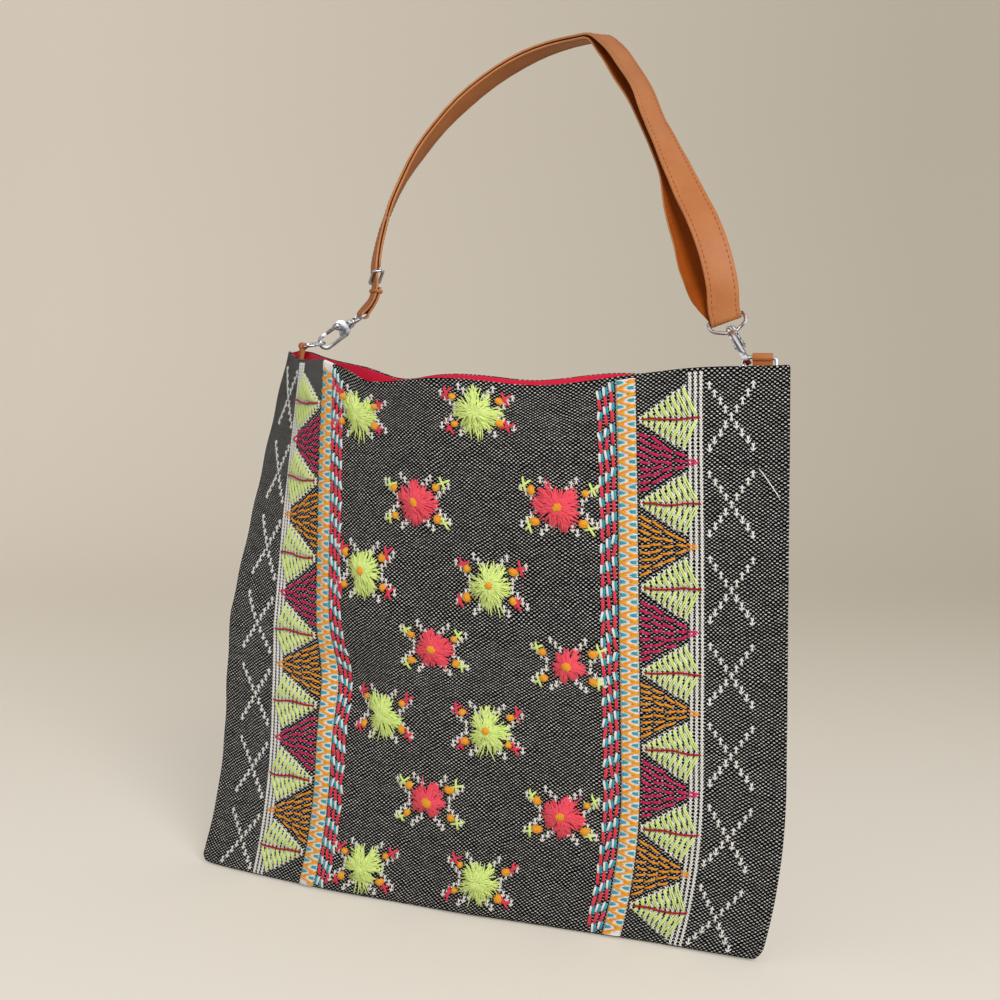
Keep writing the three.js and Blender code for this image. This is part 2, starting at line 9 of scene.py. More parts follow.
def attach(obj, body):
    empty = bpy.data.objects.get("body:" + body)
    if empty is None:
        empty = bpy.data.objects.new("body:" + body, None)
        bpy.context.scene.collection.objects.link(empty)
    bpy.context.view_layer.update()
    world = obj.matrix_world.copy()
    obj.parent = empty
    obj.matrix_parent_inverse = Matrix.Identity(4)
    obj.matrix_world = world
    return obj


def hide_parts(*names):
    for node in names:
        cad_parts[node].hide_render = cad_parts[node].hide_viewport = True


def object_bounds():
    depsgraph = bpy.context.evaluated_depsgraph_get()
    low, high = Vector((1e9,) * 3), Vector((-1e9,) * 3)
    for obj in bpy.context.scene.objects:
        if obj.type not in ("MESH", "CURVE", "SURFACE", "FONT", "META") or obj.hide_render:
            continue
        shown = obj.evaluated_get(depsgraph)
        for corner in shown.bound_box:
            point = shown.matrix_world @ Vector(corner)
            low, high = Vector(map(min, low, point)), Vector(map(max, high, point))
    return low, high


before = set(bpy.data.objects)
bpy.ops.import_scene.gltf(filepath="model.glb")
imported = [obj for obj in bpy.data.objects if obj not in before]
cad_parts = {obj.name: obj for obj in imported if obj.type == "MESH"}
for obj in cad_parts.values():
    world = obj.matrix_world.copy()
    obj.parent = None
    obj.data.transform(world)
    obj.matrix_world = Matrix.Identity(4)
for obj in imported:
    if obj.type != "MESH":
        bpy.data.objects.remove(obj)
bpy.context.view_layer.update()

# Looks of an embroidered tote bag of black and white plain weave cotton. Metres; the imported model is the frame.
print("frame loaded")

# Camera first: at the photograph's viewing angle
cameraLook = {"place": (0.47908, -1.40413, -0.21764), "yaw": 21.7, "pitch": 7.16, "lens": 59.4}
cameraData = bpy.data.cameras.new("photoCamera")
cameraData.lens = cameraLook["lens"]
cameraData.sensor_width = 36
camera = bpy.data.objects.new("photoCamera", cameraData)
camera.location = cameraLook["place"]
camera.rotation_euler = (math.radians(90 - cameraLook["pitch"]), 0, math.radians(cameraLook["yaw"]))
bpy.context.scene.collection.objects.link(camera)
bpy.context.scene.camera = camera
bpy.context.scene.view_settings.view_transform = "Standard"
print("camera set")


def toLinear(hexText):
    values = [int(hexText[i:i + 2], 16) / 255 for i in (0, 2, 4)]
    return tuple(c / 12.92 if c <= 0.04045 else ((c + 0.055) / 1.055) ** 2.4 for c in values) + (1.0,)


def addNode(tree, kind, settings=None, inputs=None):
    node = tree.nodes.new(kind)
    for key, value in (settings or {}).items():
        setattr(node, key, value)
    for key, value in (inputs or {}).items():
        if isinstance(value, bpy.types.NodeSocket):
            tree.links.new(value, node.inputs[key])
        else:
            node.inputs[key].default_value = value
    return node


def newMaterial(name):
    material = bpy.data.materials.new(name)
    material.use_nodes = True
    return material, material.node_tree, material.node_tree.nodes["Principled BSDF"]


def calc(tree, kind, operation, *values):
    # One step of arithmetic on sockets or numbers; kind is Math or VectorMath
    return addNode(tree, f"ShaderNode{kind}", {"operation": operation}, dict(enumerate(values))).outputs[0]


def noise(tree, place, scale, detail):
    return addNode(tree, "ShaderNodeTexNoise", inputs={"Vector": place, "Scale": scale, "Detail": detail})


def mixColour(tree, factor, dark, light):
    values = {"Factor": factor, "A": dark, "B": light}
    return addNode(tree, "ShaderNodeMix", {"data_type": "RGBA"}, values).outputs["Result"]


def addBump(tree, shader, strength, distance, height):
    bump = addNode(tree, "ShaderNodeBump", inputs={"Strength": strength, "Distance": distance, "Height": height})
    tree.links.new(bump.outputs[0], shader.inputs["Normal"])


def setShine(shader, roughness, specular):
    shader.inputs["Roughness"].default_value = roughness
    shader.inputs["Specular IOR Level"].default_value = specular


def bell(a):
    return math.exp(-a * a)


def smoothStep(a):
    a = min(1.0, max(0.0, a))
    return a * a * (3 - 2 * a)


def putInScene(name, data):
    made = bpy.data.objects.new(name, data)
    bpy.context.scene.collection.objects.link(made)
    return made


def meshPiece(name, bm, materials):
    mesh = bpy.data.meshes.new(name)
    bm.to_mesh(mesh)
    bm.free()
    for material in materials:
        mesh.materials.append(material)
    mesh.shade_smooth()
    return putInScene(name, mesh)


def finishMesh(name, bm, materials, slot, replaced=(), body="bag"):
    piece = meshPiece(name, bm, materials)
    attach(piece, body)
    if replaced:
        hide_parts(*replaced)
    return piece


def applyModifiers(piece):
    graph = bpy.context.evaluated_depsgraph_get()
    done = bpy.data.meshes.new_from_object(piece.evaluated_get(graph))
    piece.modifiers.clear()
    old = piece.data
    piece.data = done
    done.name = piece.name
    bpy.data.meshes.remove(old)



def wovenCotton():
    # Plain weave cotton, black warp 2.15 mm and off-white weft 1.55 mm apart: reads as charcoal with pale flecks
    material, tree, shader = newMaterial("wovenCotton")
    warpPitch, weftPitch, halfAcross, halfUp = 2.15, 1.55, 0.5, 0.37
    place = addNode(tree, "ShaderNodeUVMap", {"uv_map": "weave"}).outputs["UV"]
    centred = calc(tree, "VectorMath", "SUBTRACT", noise(tree, place, 0.05, 2.0).outputs["Color"], (0.5, 0.5, 0.5))
    drift = addNode(tree, "ShaderNodeVectorMath", {"operation": "SCALE"}, {0: centred, "Scale": 5.0})
    moved = calc(tree, "VectorMath", "ADD", place, drift.outputs[0])
    cells = calc(tree, "VectorMath", "DIVIDE", moved, (warpPitch, weftPitch, 1.0))
    whole = calc(tree, "VectorMath", "FLOOR", cells)
    inside = calc(tree, "VectorMath", "FRACTION", cells)
    fromMiddle = calc(tree, "VectorMath", "SUBTRACT", inside, (0.5, 0.5, 0.0))
    parts = addNode(tree, "ShaderNodeSeparateXYZ", inputs={0: whole})
    local = addNode(tree, "ShaderNodeSeparateXYZ", inputs={0: fromMiddle})
    total = calc(tree, "Math", "ADD", parts.outputs["X"], parts.outputs["Y"])
    odd = calc(tree, "Math", "GREATER_THAN", calc(tree, "Math", "FLOORED_MODULO", total, 2.0), 0.5)
    across = calc(tree, "Math", "DIVIDE", local.outputs["X"], halfAcross)
    upward = calc(tree, "Math", "DIVIDE", local.outputs["Y"], halfUp)
    reach = calc(tree, "Math", "MULTIPLY_ADD", upward, upward, calc(tree, "Math", "MULTIPLY", across, across))
    fleck = addNode(tree, "ShaderNodeMapRange", {"interpolation_type": "SMOOTHSTEP"},
                    {"Value": reach, "From Min": 1.0, "From Max": 0.5, "To Min": 0.0, "To Max": 1.0}).outputs[0]
    shown = calc(tree, "Math", "MULTIPLY", fleck, odd)
    uneven = addNode(tree, "ShaderNodeTexWhiteNoise", {"noise_dimensions": "3D"}, {"Vector": whole})
    streaks = addNode(tree, "ShaderNodeMapping", inputs={"Vector": place, "Scale": (0.03, 0.4, 1.0)})
    slub = noise(tree, streaks.outputs[0], 1.0, 3.0)
    bright = addNode(tree, "ShaderNodeMapRange", inputs={"Value": uneven.outputs["Value"], "To Min": 0.5})
    patch = addNode(tree, "ShaderNodeMapRange", inputs={"Value": slub.outputs["Fac"], "From Min": 0.3,
                                                        "From Max": 0.7, "To Min": 0.65, "To Max": 1.1})
    weight = calc(tree, "Math", "MULTIPLY", bright.outputs[0], patch.outputs[0])
    pale = addNode(tree, "ShaderNodeMath", {"operation": "MULTIPLY", "use_clamp": True}, {0: weight, 1: shown})
    colour = mixColour(tree, pale.outputs[0], toLinear("080809"), toLinear("eceae4"))
    tree.links.new(colour, shader.inputs["Base Color"])
    # Each crossing is a small dome of the thread that lies on top there
    addBump(tree, shader, 0.6, 0.0006, fleck)
    setShine(shader, 0.95, 0.08)
    return material


def liningCotton():
    # Fine dyed cotton twill: even crimson pink with faint diagonal ribs
    material, tree, shader = newMaterial("liningCotton")
    place = addNode(tree, "ShaderNodeTexCoord").outputs["Object"]
    colour = mixColour(tree, noise(tree, place, 18.0, 3.0).outputs["Fac"], toLinear("ee2848"), toLinear("ff3c5c"))
    tree.links.new(colour, shader.inputs["Base Color"])
    ribs = addNode(tree, "ShaderNodeTexWave", {"wave_type": "BANDS", "bands_direction": "DIAGONAL"},
                   {"Vector": place, "Scale": 320.0})
    addBump(tree, shader, 0.3, 0.0003, ribs.outputs["Fac"])
    setShine(shader, 0.9, 0.2)
    return material


def yarnCotton(name, dark, light):
    # Soft spun cotton yarn: matt, with random dye unevenness and painted shade, darker in the valleys between its
    # thin plies
    material, tree, shader = newMaterial(name)
    place = addNode(tree, "ShaderNodeTexCoord").outputs["Object"]
    plies = noise(tree, place, 1400.0, 2.0).outputs["Fac"]
    dye = noise(tree, place, 90.0, 1.0).outputs["Fac"]
    # Painted shade: the colour darkens where the ply bump is low, between the plies; the dye noise adds real
    # unevenness
    share = addNode(tree, "ShaderNodeMath", {"operation": "MULTIPLY_ADD", "use_clamp": True},
                    {0: plies, 1: 1.3, 2: -0.15})
    dyeAndPlyShade = addNode(tree, "ShaderNodeMath", {"operation": "MULTIPLY_ADD", "use_clamp": True},
                    {0: dye, 1: 0.5, 2: share.outputs[0]})
    colour = mixColour(tree, dyeAndPlyShade.outputs[0], toLinear(dark), toLinear(light))
    tree.links.new(colour, shader.inputs["Base Color"])
    addBump(tree, shader, 0.4, 0.0003, plies)
    setShine(shader, 0.9, 0.25)
    shader.inputs["Sheen Weight"].default_value = 0.1
    return material


def tanLeather(name, dark, light, smoothest=0.42, shine=0.4):
    # Cow leather, dyed tan: fine pores about 1 mm apart and cloudy colour; smoothest is its lowest roughness
    material, tree, shader = newMaterial(name)
    place = addNode(tree, "ShaderNodeTexCoord").outputs["Object"]
    clouds = noise(tree, place, 45.0, 5.0)
    clouds.inputs["Roughness"].default_value = 0.6
    pores = addNode(tree, "ShaderNodeTexVoronoi", inputs={"Vector": place, "Scale": 1100.0})
    colour = mixColour(tree, clouds.outputs["Fac"], toLinear(dark), toLinear(light))
    tree.links.new(colour, shader.inputs["Base Color"])
    addBump(tree, shader, 0.25, 0.0004, pores.outputs["Distance"])
    setShine(shader, smoothest, shine)
    gloss = addNode(tree, "ShaderNodeMapRange", inputs={"Value": clouds.outputs["Fac"], "To Min": smoothest,
                                                       "To Max": min(1.0, smoothest + 0.18)})
    tree.links.new(gloss.outputs[0], shader.inputs["Roughness"])
    return material


def nickelPlate():
    # Nickel plated zinc casting: bright mirror with slight handling haze
    material, tree, shader = newMaterial("nickelPlate")
    haze = noise(tree, addNode(tree, "ShaderNodeTexCoord").outputs["Object"], 350.0, 3.0)
    rough = addNode(tree, "ShaderNodeMapRange", inputs={"Value": haze.outputs["Fac"], "To Min": 0.12, "To Max": 0.3})
    tree.links.new(rough.outputs[0], shader.inputs["Roughness"])
    shader.inputs["Base Color"].default_value = toLinear("c9c9cc")
    shader.inputs["Metallic"].default_value = 1.0
    return material


woven = wovenCotton()
lining = liningCotton()
yarns = {
    "white": yarnCotton("naturalYarn", "e8e2d6", "fffdf8"),
    "orange": yarnCotton("orangeYarn", "f09010", "ffb638"),
    "amber": yarnCotton("amberYarn", "d88408", "ffa828"),
    "teal": yarnCotton("tealYarn", "1488a2", "48b8cc"),
    "coral": yarnCotton("coralYarn", "d4263e", "f84c62"),
    "magenta": yarnCotton("magentaYarn", "b40c48", "e42a68"),
    "pink": yarnCotton("pinkYarn", "f23048", "ff6474"),
    "green": yarnCotton("neonGreenYarn", "c8f064", "f2ffa4"),
    "red": yarnCotton("darkRedYarn", "8c1216", "b82020"),
}
leather = tanLeather("tanLeather", "aa602c", "cb8148")
# The strap's inner face gets a darker, redder, matt copy of the same leather: painted shade between the strap's
# layers; and its cut edge without dye
innerFacePaintedShade = tanLeather("tanLeatherPaintedShade", "8c4010", "b4581a", 0.9, 0.05)
rawEdge = tanLeather("rawLeatherEdge", "b87a4a", "dca070", 0.8, 0.1)
leatherThread = yarnCotton("tanSewingThread", "8a4a20", "a85e30")
nickel = nickelPlate()
print("materials made")

# The bag's surface: s across and t up the cloth in millimetres, out in front of it
bagForm = {
    "width": 546, "height": 478, "turns": (57, 26, 12), "flat": (-5.2, 2.2), "turnStart": 0.12,
    "swing": 18.5, "lean": (22.8, 11.8), "sag": (9, 4), "slump": (7.6, 255, 51),
    "fold": (15, -125, 38, 194, 43), "foldBehind": 0.35, "rest": (50, 158, 749.4),
    "cloth": 2.2, "gap": 0.35, "liningThick": 1.0, "mouth": 17,
}
halfWidth = bagForm["width"] / 2


def turnAt(u, v):
    top, middle, bottom = bagForm["turns"]
    left = bottom + (middle - bottom) * v * 2 if v < 0.5 else middle + (top - middle) * (v * 2 - 1)
    right = bagForm["flat"][1] + (bagForm["flat"][0] - bagForm["flat"][1]) * v
    start = bagForm["turnStart"]
    if u < start:
        return math.radians(left * (start - u) / (start + 1))
    return math.radians(right * (u - start) / (1 - start))


def foldAt(s, t):
    depth, s0, sw, t0, tw = bagForm["fold"]
    return depth * math.exp(-((s - s0) / sw) ** 2 - ((t - t0) / tw) ** 2)


def creaseAt(s, t):
    # Soft handling waves of the hanging cloth and the crease across its middle
    wave = 0.9 * math.sin(s / 31 + t / 57) + 0.7 * math.sin(s / 19 - t / 41 + 1.3)
    crease = 2.6 * bell((t - 262 - 0.05 * s) / 10) * bell((s - 10) / 95)
    pucker = 0.5 * math.sin(t / 8.5) * smoothStep((abs(s) - 255) / 12)
    return wave + crease + pucker


def bagDepth(s, t):
    u, v = s / halfWidth, min(1, max(0, t / bagForm["height"]))
    seam = 2 * bagForm["cloth"] + bagForm["gap"]
    full = 2 * (bagForm["cloth"] + bagForm["liningThick"] + bagForm["gap"]) + bagForm["mouth"]
    side = math.sqrt(max(0, 1 - abs(u) ** 10))
    foot = math.sqrt(max(0, 1 - (1 - v) ** 14))
    return seam + (full - seam) * side * foot


def bagPoint(s, t, depth=0.0):
    u, v = s / halfWidth, t / bagForm["height"]
    x = y = 0.0
    for i in range(24):
        turn = turnAt(u * (i + 0.5) / 24, v)
        x += math.cos(turn) * s / 24
        y -= math.sin(turn) * s / 24
    x -= bagForm["swing"] * max(0, 1 - v / 0.3) ** 2
    y += bagForm["lean"][1] * (1 - v) ** 2 - bagForm["lean"][0] * v * v
    drop, middle, spread = bagForm["slump"]
    sag = bagForm["sag"][0] * smoothStep((v - 0.4) / 0.6) + bagForm["sag"][1] * smoothStep((v - 0.88) / 0.12)
    z = t - (sag + drop * bell((t - middle) / spread)) * (1 - u * u)
    turn = turnAt(u, v)
    rest = bagForm["rest"]
    return Vector((x + math.sin(turn) * depth - rest[0], y + math.cos(turn) * depth - rest[1], z - rest[2])) / 1000


def frontDip(s, t):
    # How far the front wall's mouth edge sags below the even line, in millimetres; it stands up at the left tab
    skew = 22 if s < -90 else 55
    dip = 8.6 * bell((s + 90) / skew) + 7 * bell((s - 75) / 55)
    dip -= 4.8 * bell((s + 160) / 28) + 3 * bell((s - 205) / 45)
    return dip * smoothStep((t - 418) / 60) * smoothStep((halfWidth - abs(s)) / 25)


def backRise(s, t):
    # The back wall's mouth edge stands a little higher, and dips where it bends
    rise = 1.5 - 2.5 * smoothStep((s - 125) / 45) - 7.2 * bell((s + 70) / 36) - 5.2 * bell((s - 66) / 42)
    return rise * smoothStep((t - 400) / 78) * smoothStep((halfWidth - abs(s)) / 25)


def onCloth(s, t, out=0.0):
    point = bagPoint(s, t, foldAt(s, t) - creaseAt(s, t) - out)
    point.z -= frontDip(s, t) / 1000
    return point


# Cloth shell and lining
clothShell = {"step": 5.5, "edgeStops": (0, 0.5, 1.3, 2.4, 4.2, 7.5), "corner": (15, 11, 3, 3)}
liningShell = {"inset": 6, "floor": 9, "drop": 0.5, "reach": 9, "edgeStops": (0, 0.8, 2.4, 5, 9), "step": 8}


def stopsAcross(low, high, edge, step):
    a, b = [low + e for e in edge], [high - e for e in reversed(edge)]
    count = max(1, round((b[0] - a[-1]) / step))
    middle = [a[-1] + (b[0] - a[-1]) * i / count for i in range(1, count)]
    return a + middle + b


def roundedCorner(s, t, limits):
    # Pulls the square corners of the cut cloth into rounded ones
    left, right, bottom, top = limits
    for k, (s0, t0) in enumerate(((left, bottom), (right, bottom), (left, top), (right, top))):
        radius = clothShell["corner"][k]
        a, b = 1 - abs(s - s0) / radius, 1 - abs(t - t0) / radius
        if a > 0 and b > 0:
            na, nb = a * math.sqrt(1 - b * b / 2), b * math.sqrt(1 - a * a / 2)
            return (s0 + math.copysign((1 - na) * radius, s - s0 or (1 if s0 < 0 else -1)),
                    t0 + math.copysign((1 - nb) * radius, t - t0 or (1 if t0 < 100 else -1)))
    return s, t


def sheetGrid(bm, columns, rows, place, uvShift=0.0):
    made = bmesh.ops.create_grid(bm, x_segments=len(columns) - 1, y_segments=len(rows) - 1, size=0.5)
    flat = {}
    for vert in made["verts"]:
        s = columns[round((vert.co.x + 0.5) * (len(columns) - 1))]
        t = rows[round((vert.co.y + 0.5) * (len(rows) - 1))]
        flat[vert] = (s, t)
    layer = bm.loops.layers.uv.get("weave") or bm.loops.layers.uv.new("weave")
    for face in {f for v in made["verts"] for f in v.link_faces}:
        for loop in face.loops:
            s, t = flat[loop.vert]
            loop[layer].uv = (s + uvShift, t)
    for vert, (s, t) in flat.items():
        vert.co = place(s, t)
    return made["verts"]


def pillowPlace(face, offset, reach, limits):
    # Front or back wall of one layer; both meet halfway between at the sides and the foot
    left, right, bottom, top = limits

    def place(s, t):
        s, t = roundedCorner(s, t, limits)
        edge = min(s - left, right - s, t - bottom)
        share = min(1.0, max(0.0, edge) / reach)
        full = math.sqrt(max(0.0, 1 - (1 - share) ** 2))
        total = bagDepth(s, t)
        half = (total / 2 - offset) * full
        lift = backRise(s, t) if face == "back" else -frontDip(s, t)
        push = foldAt(s, t) - creaseAt(s, t)
        depth = total / 2 - half + push if face == "front" else total / 2 + half + bagForm["foldBehind"] * push
        if share < 1:
            depth = total / 2 + (depth - total / 2) * full + push * 0.5 * (1 - full)
        point = bagPoint(s, t, depth)
        point.z += lift / 1000
        return point

    return place


def layerShell(name, limits, stops, reach, offset, thick, bevel, *look):
    left, right, bottom, top = limits
    columns = stopsAcross(left, right, stops["edgeStops"], stops["step"])
    rows = stopsAcross(bottom, top, stops["edgeStops"], stops["step"])
    bm = bmesh.new()
    sheetGrid(bm, columns, rows, pillowPlace("front", offset, reach, limits))
    back = sheetGrid(bm, columns, rows, pillowPlace("back", offset, reach, limits), 700.0)
    bmesh.ops.reverse_faces(bm, faces=list({f for v in back for f in v.link_faces}))
    bmesh.ops.remove_doubles(bm, verts=bm.verts, dist=0.00012)
    bmesh.ops.recalc_face_normals(bm, faces=bm.faces)
    # The open shell is turned so that its normals point out of the bag
    probe = min(bm.faces, key=lambda f: f.calc_center_median().y)
    if probe.normal.y > 0:
        bmesh.ops.reverse_faces(bm, faces=bm.faces)
    piece = finishMesh(name, bm, *look)
    solid = piece.modifiers.new("thickness", "SOLIDIFY")
    solid.thickness = thick / 1000
    solid.offset = -1
    solid.use_even_offset = False
    soft = piece.modifiers.new("rim", "BEVEL")
    soft.width = bevel
    soft.segments = 3
    soft.limit_method = "ANGLE"
    soft.angle_limit = math.radians(60)
    applyModifiers(piece)


outerLimits = (-halfWidth, halfWidth, 0, bagForm["height"])
layerShell("bagCloth", outerLimits, clothShell, 2.4, 0.0, bagForm["cloth"], 0.0008, [woven], "woven_cotton",
           ("front_panel", "back_panel"))
innerLimits = (-halfWidth + liningShell["inset"], halfWidth - liningShell["inset"], liningShell["floor"],
               bagForm["height"] - liningShell["drop"])
layerShell("liningCloth", innerLimits, liningShell, liningShell["reach"], bagForm["cloth"] + bagForm["gap"],
           bagForm["liningThick"], 0.0003, [lining], "lining_cotton", ("lining_front", "lining_back"))
print("cloth shell and lining made")

# Yarn: every stitch is a short thread that dives into the cloth at both ends


def threadPiece(name, runs, radius, material, slot, replaced=(), sides=1):
    curve = bpy.data.curves.new(name, "CURVE")
    curve.dimensions = "3D"
    curve.bevel_depth = radius / 1000
    curve.bevel_resolution = sides
    curve.use_fill_caps = True
    for run in runs:
        spline = curve.splines.new("POLY")
        spline.points.add(len(run) - 1)
        for point, (place, swell) in zip(spline.points, run):
            point.co = (place[0], place[1], place[2], 1)
            point.radius = swell
    wire = putInScene(name, curve)
    graph = bpy.context.evaluated_depsgraph_get()
    mesh = bpy.data.meshes.new_from_object(wire.evaluated_get(graph))
    bpy.data.objects.remove(wire)
    bpy.data.curves.remove(curve)
    bm = bmesh.new()
    bm.from_mesh(mesh)
    bpy.data.meshes.remove(mesh)
    bmesh.ops.remove_doubles(bm, verts=bm.verts, dist=0.0000002)
    finishMesh(name, bm, [material], slot, replaced)


def stitch(start, end, rise, middles=2, sway=0.0):
    # A thread from one needle hole to the other, in millimetres on the cloth
    holeDepth, holeSwell = -0.35, 0.75
    run = [(onCloth(*start, holeDepth), holeSwell)]
    for k in range(middles):
        a = 0.14 + 0.72 * k / max(1, middles - 1)
        s = start[0] + (end[0] - start[0]) * a
        t = start[1] + (end[1] - start[1]) * a + sway * math.sin(a * 7)
        run.append((onCloth(s, t, rise), 1.0))
    run.append((onCloth(*end, holeDepth), holeSwell))
    return run


def pairedStitch(start, end, rise, apart, middles=2, sway=0.0):
    # Two strands side by side, as the doubled yarn lies
    ds, dt = end[0] - start[0], end[1] - start[1]
    size = math.hypot(ds, dt)
    ns, nt = -dt / size * apart / 2, ds / size * apart / 2
    ends = [((start[0] + w * ns, start[1] + w * nt), (end[0] + w * ns, end[1] + w * nt)) for w in (1, -1)]
    return [stitch(a, b, rise, middles, sway) for a, b in ends]


def smallBone(s, t, high, wide, rng):
    # Two threads crossed at the waist
    tilt = rng.uniform(-0.2, 0.2)
    low, top = t - high / 2, t + high / 2
    return [stitch((s - wide + tilt, low), (s + wide, top), 0.6),
            stitch((s + wide, low), (s - wide + tilt, top), 0.85)]


def boneStitch(s, t, way, rng):
    # Bone of four threads: two crossed low down as its stem, two as an arrow shaped cap on the outer end (way)
    high, cap, foot = embroidery["bone"]
    high, cap = high * rng.uniform(0.92, 1.06), cap * rng.uniform(0.88, 1.1)
    s, t = s + rng.uniform(-0.3, 0.3), t + rng.uniform(-0.3, 0.3)
    low, top = t - way * high / 2, t + way * high / 2
    under = top - way * 2.3
    return [stitch((s - foot, low), (s + foot * 0.5, top - way * 0.8), 0.6),
            stitch((s + foot, low), (s - foot * 0.5, top - way * 0.8), 0.8),
            stitch((s - cap, under), (s + 0.25, top), 1.0), stitch((s + cap, under), (s - 0.25, top), 1.05)]


embroidery = {
    "rows": [31 + 68.2 * k for k in range(7)],
    "columns": [-93.25, -31.75, 29.75, 91.25],
    "zigzag": (138.5, 154), "zigzagPitch": 10.35, "lobe": 7.2, "groundPitch": 1.05,
    "dash": (122.5, 138), "dashPitch": 18.5, "dashLength": 9.8,
    "leafTip": 155, "leafBase": 206, "leafColumns": 12, "leafStep": 4.35, "halfLeaf": 27,
    "crossColumn": 229, "crossStep": (4.2, 5.9), "bone": (6.2, 1.9, 0.85),
}
rng = random.Random(7)


def zigzagBand(sideName, side):
    # Orange and teal lobes alternate down both edges, thin orange threads join lobe to lobe, all on white ground
    low, high = embroidery["zigzag"]
    pitch, lobe = embroidery["zigzagPitch"], embroidery["lobe"]
    full = bagForm["height"] - 4
    pitch = full / round(full / pitch)
    orange, teal, white = [], [], []
    for k in range(round(full / pitch)):
        t = 2 + k * pitch
        for near, far, base in ((low, high, t + pitch * 0.22), (high, low, t + pitch * 0.72)):
            inward = math.copysign(1, far - near)
            for j in (-1.35, -0.45, 0.45, 1.35):
                reach = lobe * (1.08 - 0.2 * abs(j)) * rng.uniform(0.92, 1.06)
                orange.append(stitch((side * near, base + j * 0.95),
                                     (side * (near + inward * reach), base + j * 0.5), 1.2))
                reach = lobe * (1.02 - 0.18 * abs(j)) * rng.uniform(0.88, 1.06)
                middle = base + (pitch / 2 if base + pitch / 2 < full else -pitch / 2)
                teal.append(stitch((side * (near + inward * 0.8), middle + j * 0.9),
                                   (side * (near + inward * reach), middle + j * 0.45), 1.05))
            for j in (-0.38, 0.38):
                other = base + pitch / 2
                if other < full:
                    orange.append(stitch((side * (near + inward * 2.4), base + 0.9 + j),
                                         (side * (far - inward * 2.4), other - 0.9 + j), 1.55))
    for k in range(int(full / embroidery["groundPitch"])):
        t = 2.4 + k * embroidery["groundPitch"]
        white.append(stitch((side * (low - 0.1), t), (side * (high + 0.1), t + rng.uniform(-0.2, 0.2)), 0.5))
    band = f"{sideName}_zigzag_band"
    threadPiece(f"zigzagOrange_{sideName}", orange, 0.48, yarns["orange"], "orange_yarn", (band,))
    threadPiece(f"zigzagTeal_{sideName}", teal, 0.5, yarns["teal"], "coral_yarn", (band,))
    return white


def dashBand(sideName, side):
    # Three rows of running stitch in coral, with white and teal side by side between them
    low = embroidery["dash"][0]
    pitch, length = embroidery["dashPitch"], embroidery["dashLength"]
    coral, white, teal = [], [], []
    for column in range(3):
        s = side * (low + 2.6 + 5.0 * column)
        for k in range(-1, 27):
            t = 6 + k * pitch + column * 3.4 + rng.uniform(-1.3, 1.3)
            lean = rng.uniform(-1.1, 1.1)
            for group, start, size, shift, apart in ((coral, 0.2, length, 0.0, 1.25),
                                                     (white, length + 0.3, 8.2, -1.15, 0.95),
                                                     (teal, length + 0.7, 7.4, 1.05, 0.95)):
                a, b = t + start, t + start + size
                if a < 2 or b > bagForm["height"] - 1.5:
                    continue
                group.extend(pairedStitch((s + side * shift - lean, a), (s + side * shift + lean, b), 0.85, apart))
    band = f"{sideName}_dash_band"
    threadPiece(f"dashCoral_{sideName}", coral, 0.72, yarns["coral"], "coral_yarn", (band,))
    threadPiece(f"dashTeal_{sideName}", teal, 0.56, yarns["teal"], "coral_yarn", (band,))
    return white


def leafHalf(s):
    tip, base = embroidery["leafTip"], embroidery["leafBase"]
    return 1.5 + (min(abs(s), base - 10) - tip) * embroidery["halfLeaf"] / (base - 10 - tip)


def leafTriangles(sideName, side):
    white, green, red = [], [], []
    tip, base = embroidery["leafTip"], embroidery["leafBase"]
    for column in range(embroidery["leafColumns"]):
        s = tip + 3.0 + column * embroidery["leafStep"]
        if column >= embroidery["leafColumns"] - 3:
            for k in range(int(472 / 2.95)):
                white.extend(smallBone(side * s, 4 + 2.95 * k, 3.5, 1.15, rng))
            continue
        for t in embroidery["rows"]:
            half = leafHalf(s)
            count = max(1, int(2 * half / 2.95))
            for k in range(count):
                white.extend(smallBone(side * s, t + (k - (count - 1) / 2) * 2.95, 3.5, 1.25, rng))
    for t in embroidery["rows"]:
        for k in range(8):
            for strand in (0.0, 1.2):
                s0 = tip + 5.2 + k * 4.35 + strand
                high = leafHalf(s0) - 0.6 - rng.uniform(0, 1.2)
                s1 = min(base + 1, s0 + 0.46 * high)
                for way in (1, -1):
                    green.append(stitch((side * s0, t + way * high), (side * s1, t + way * 1.2), 1.6, 3))
        wave = [(side * (tip + 2 + 5 * a), t + 0.8 * math.sin(a * 0.8 + t) + rng.uniform(-0.4, 0.4))
                for a in range(11)]
        red.append([(onCloth(s, h, 2.2 if 0 < i < 10 else -0.3), 1.0) for i, (s, h) in enumerate(wave)])
    threadPiece(f"leafGreen_{sideName}", green, 0.64, yarns["green"], "green_yarn", (f"{sideName}_green_triangles",))
    threadPiece(f"leafRed_{sideName}", red, 0.85, yarns["red"], "coral_yarn")
    return white


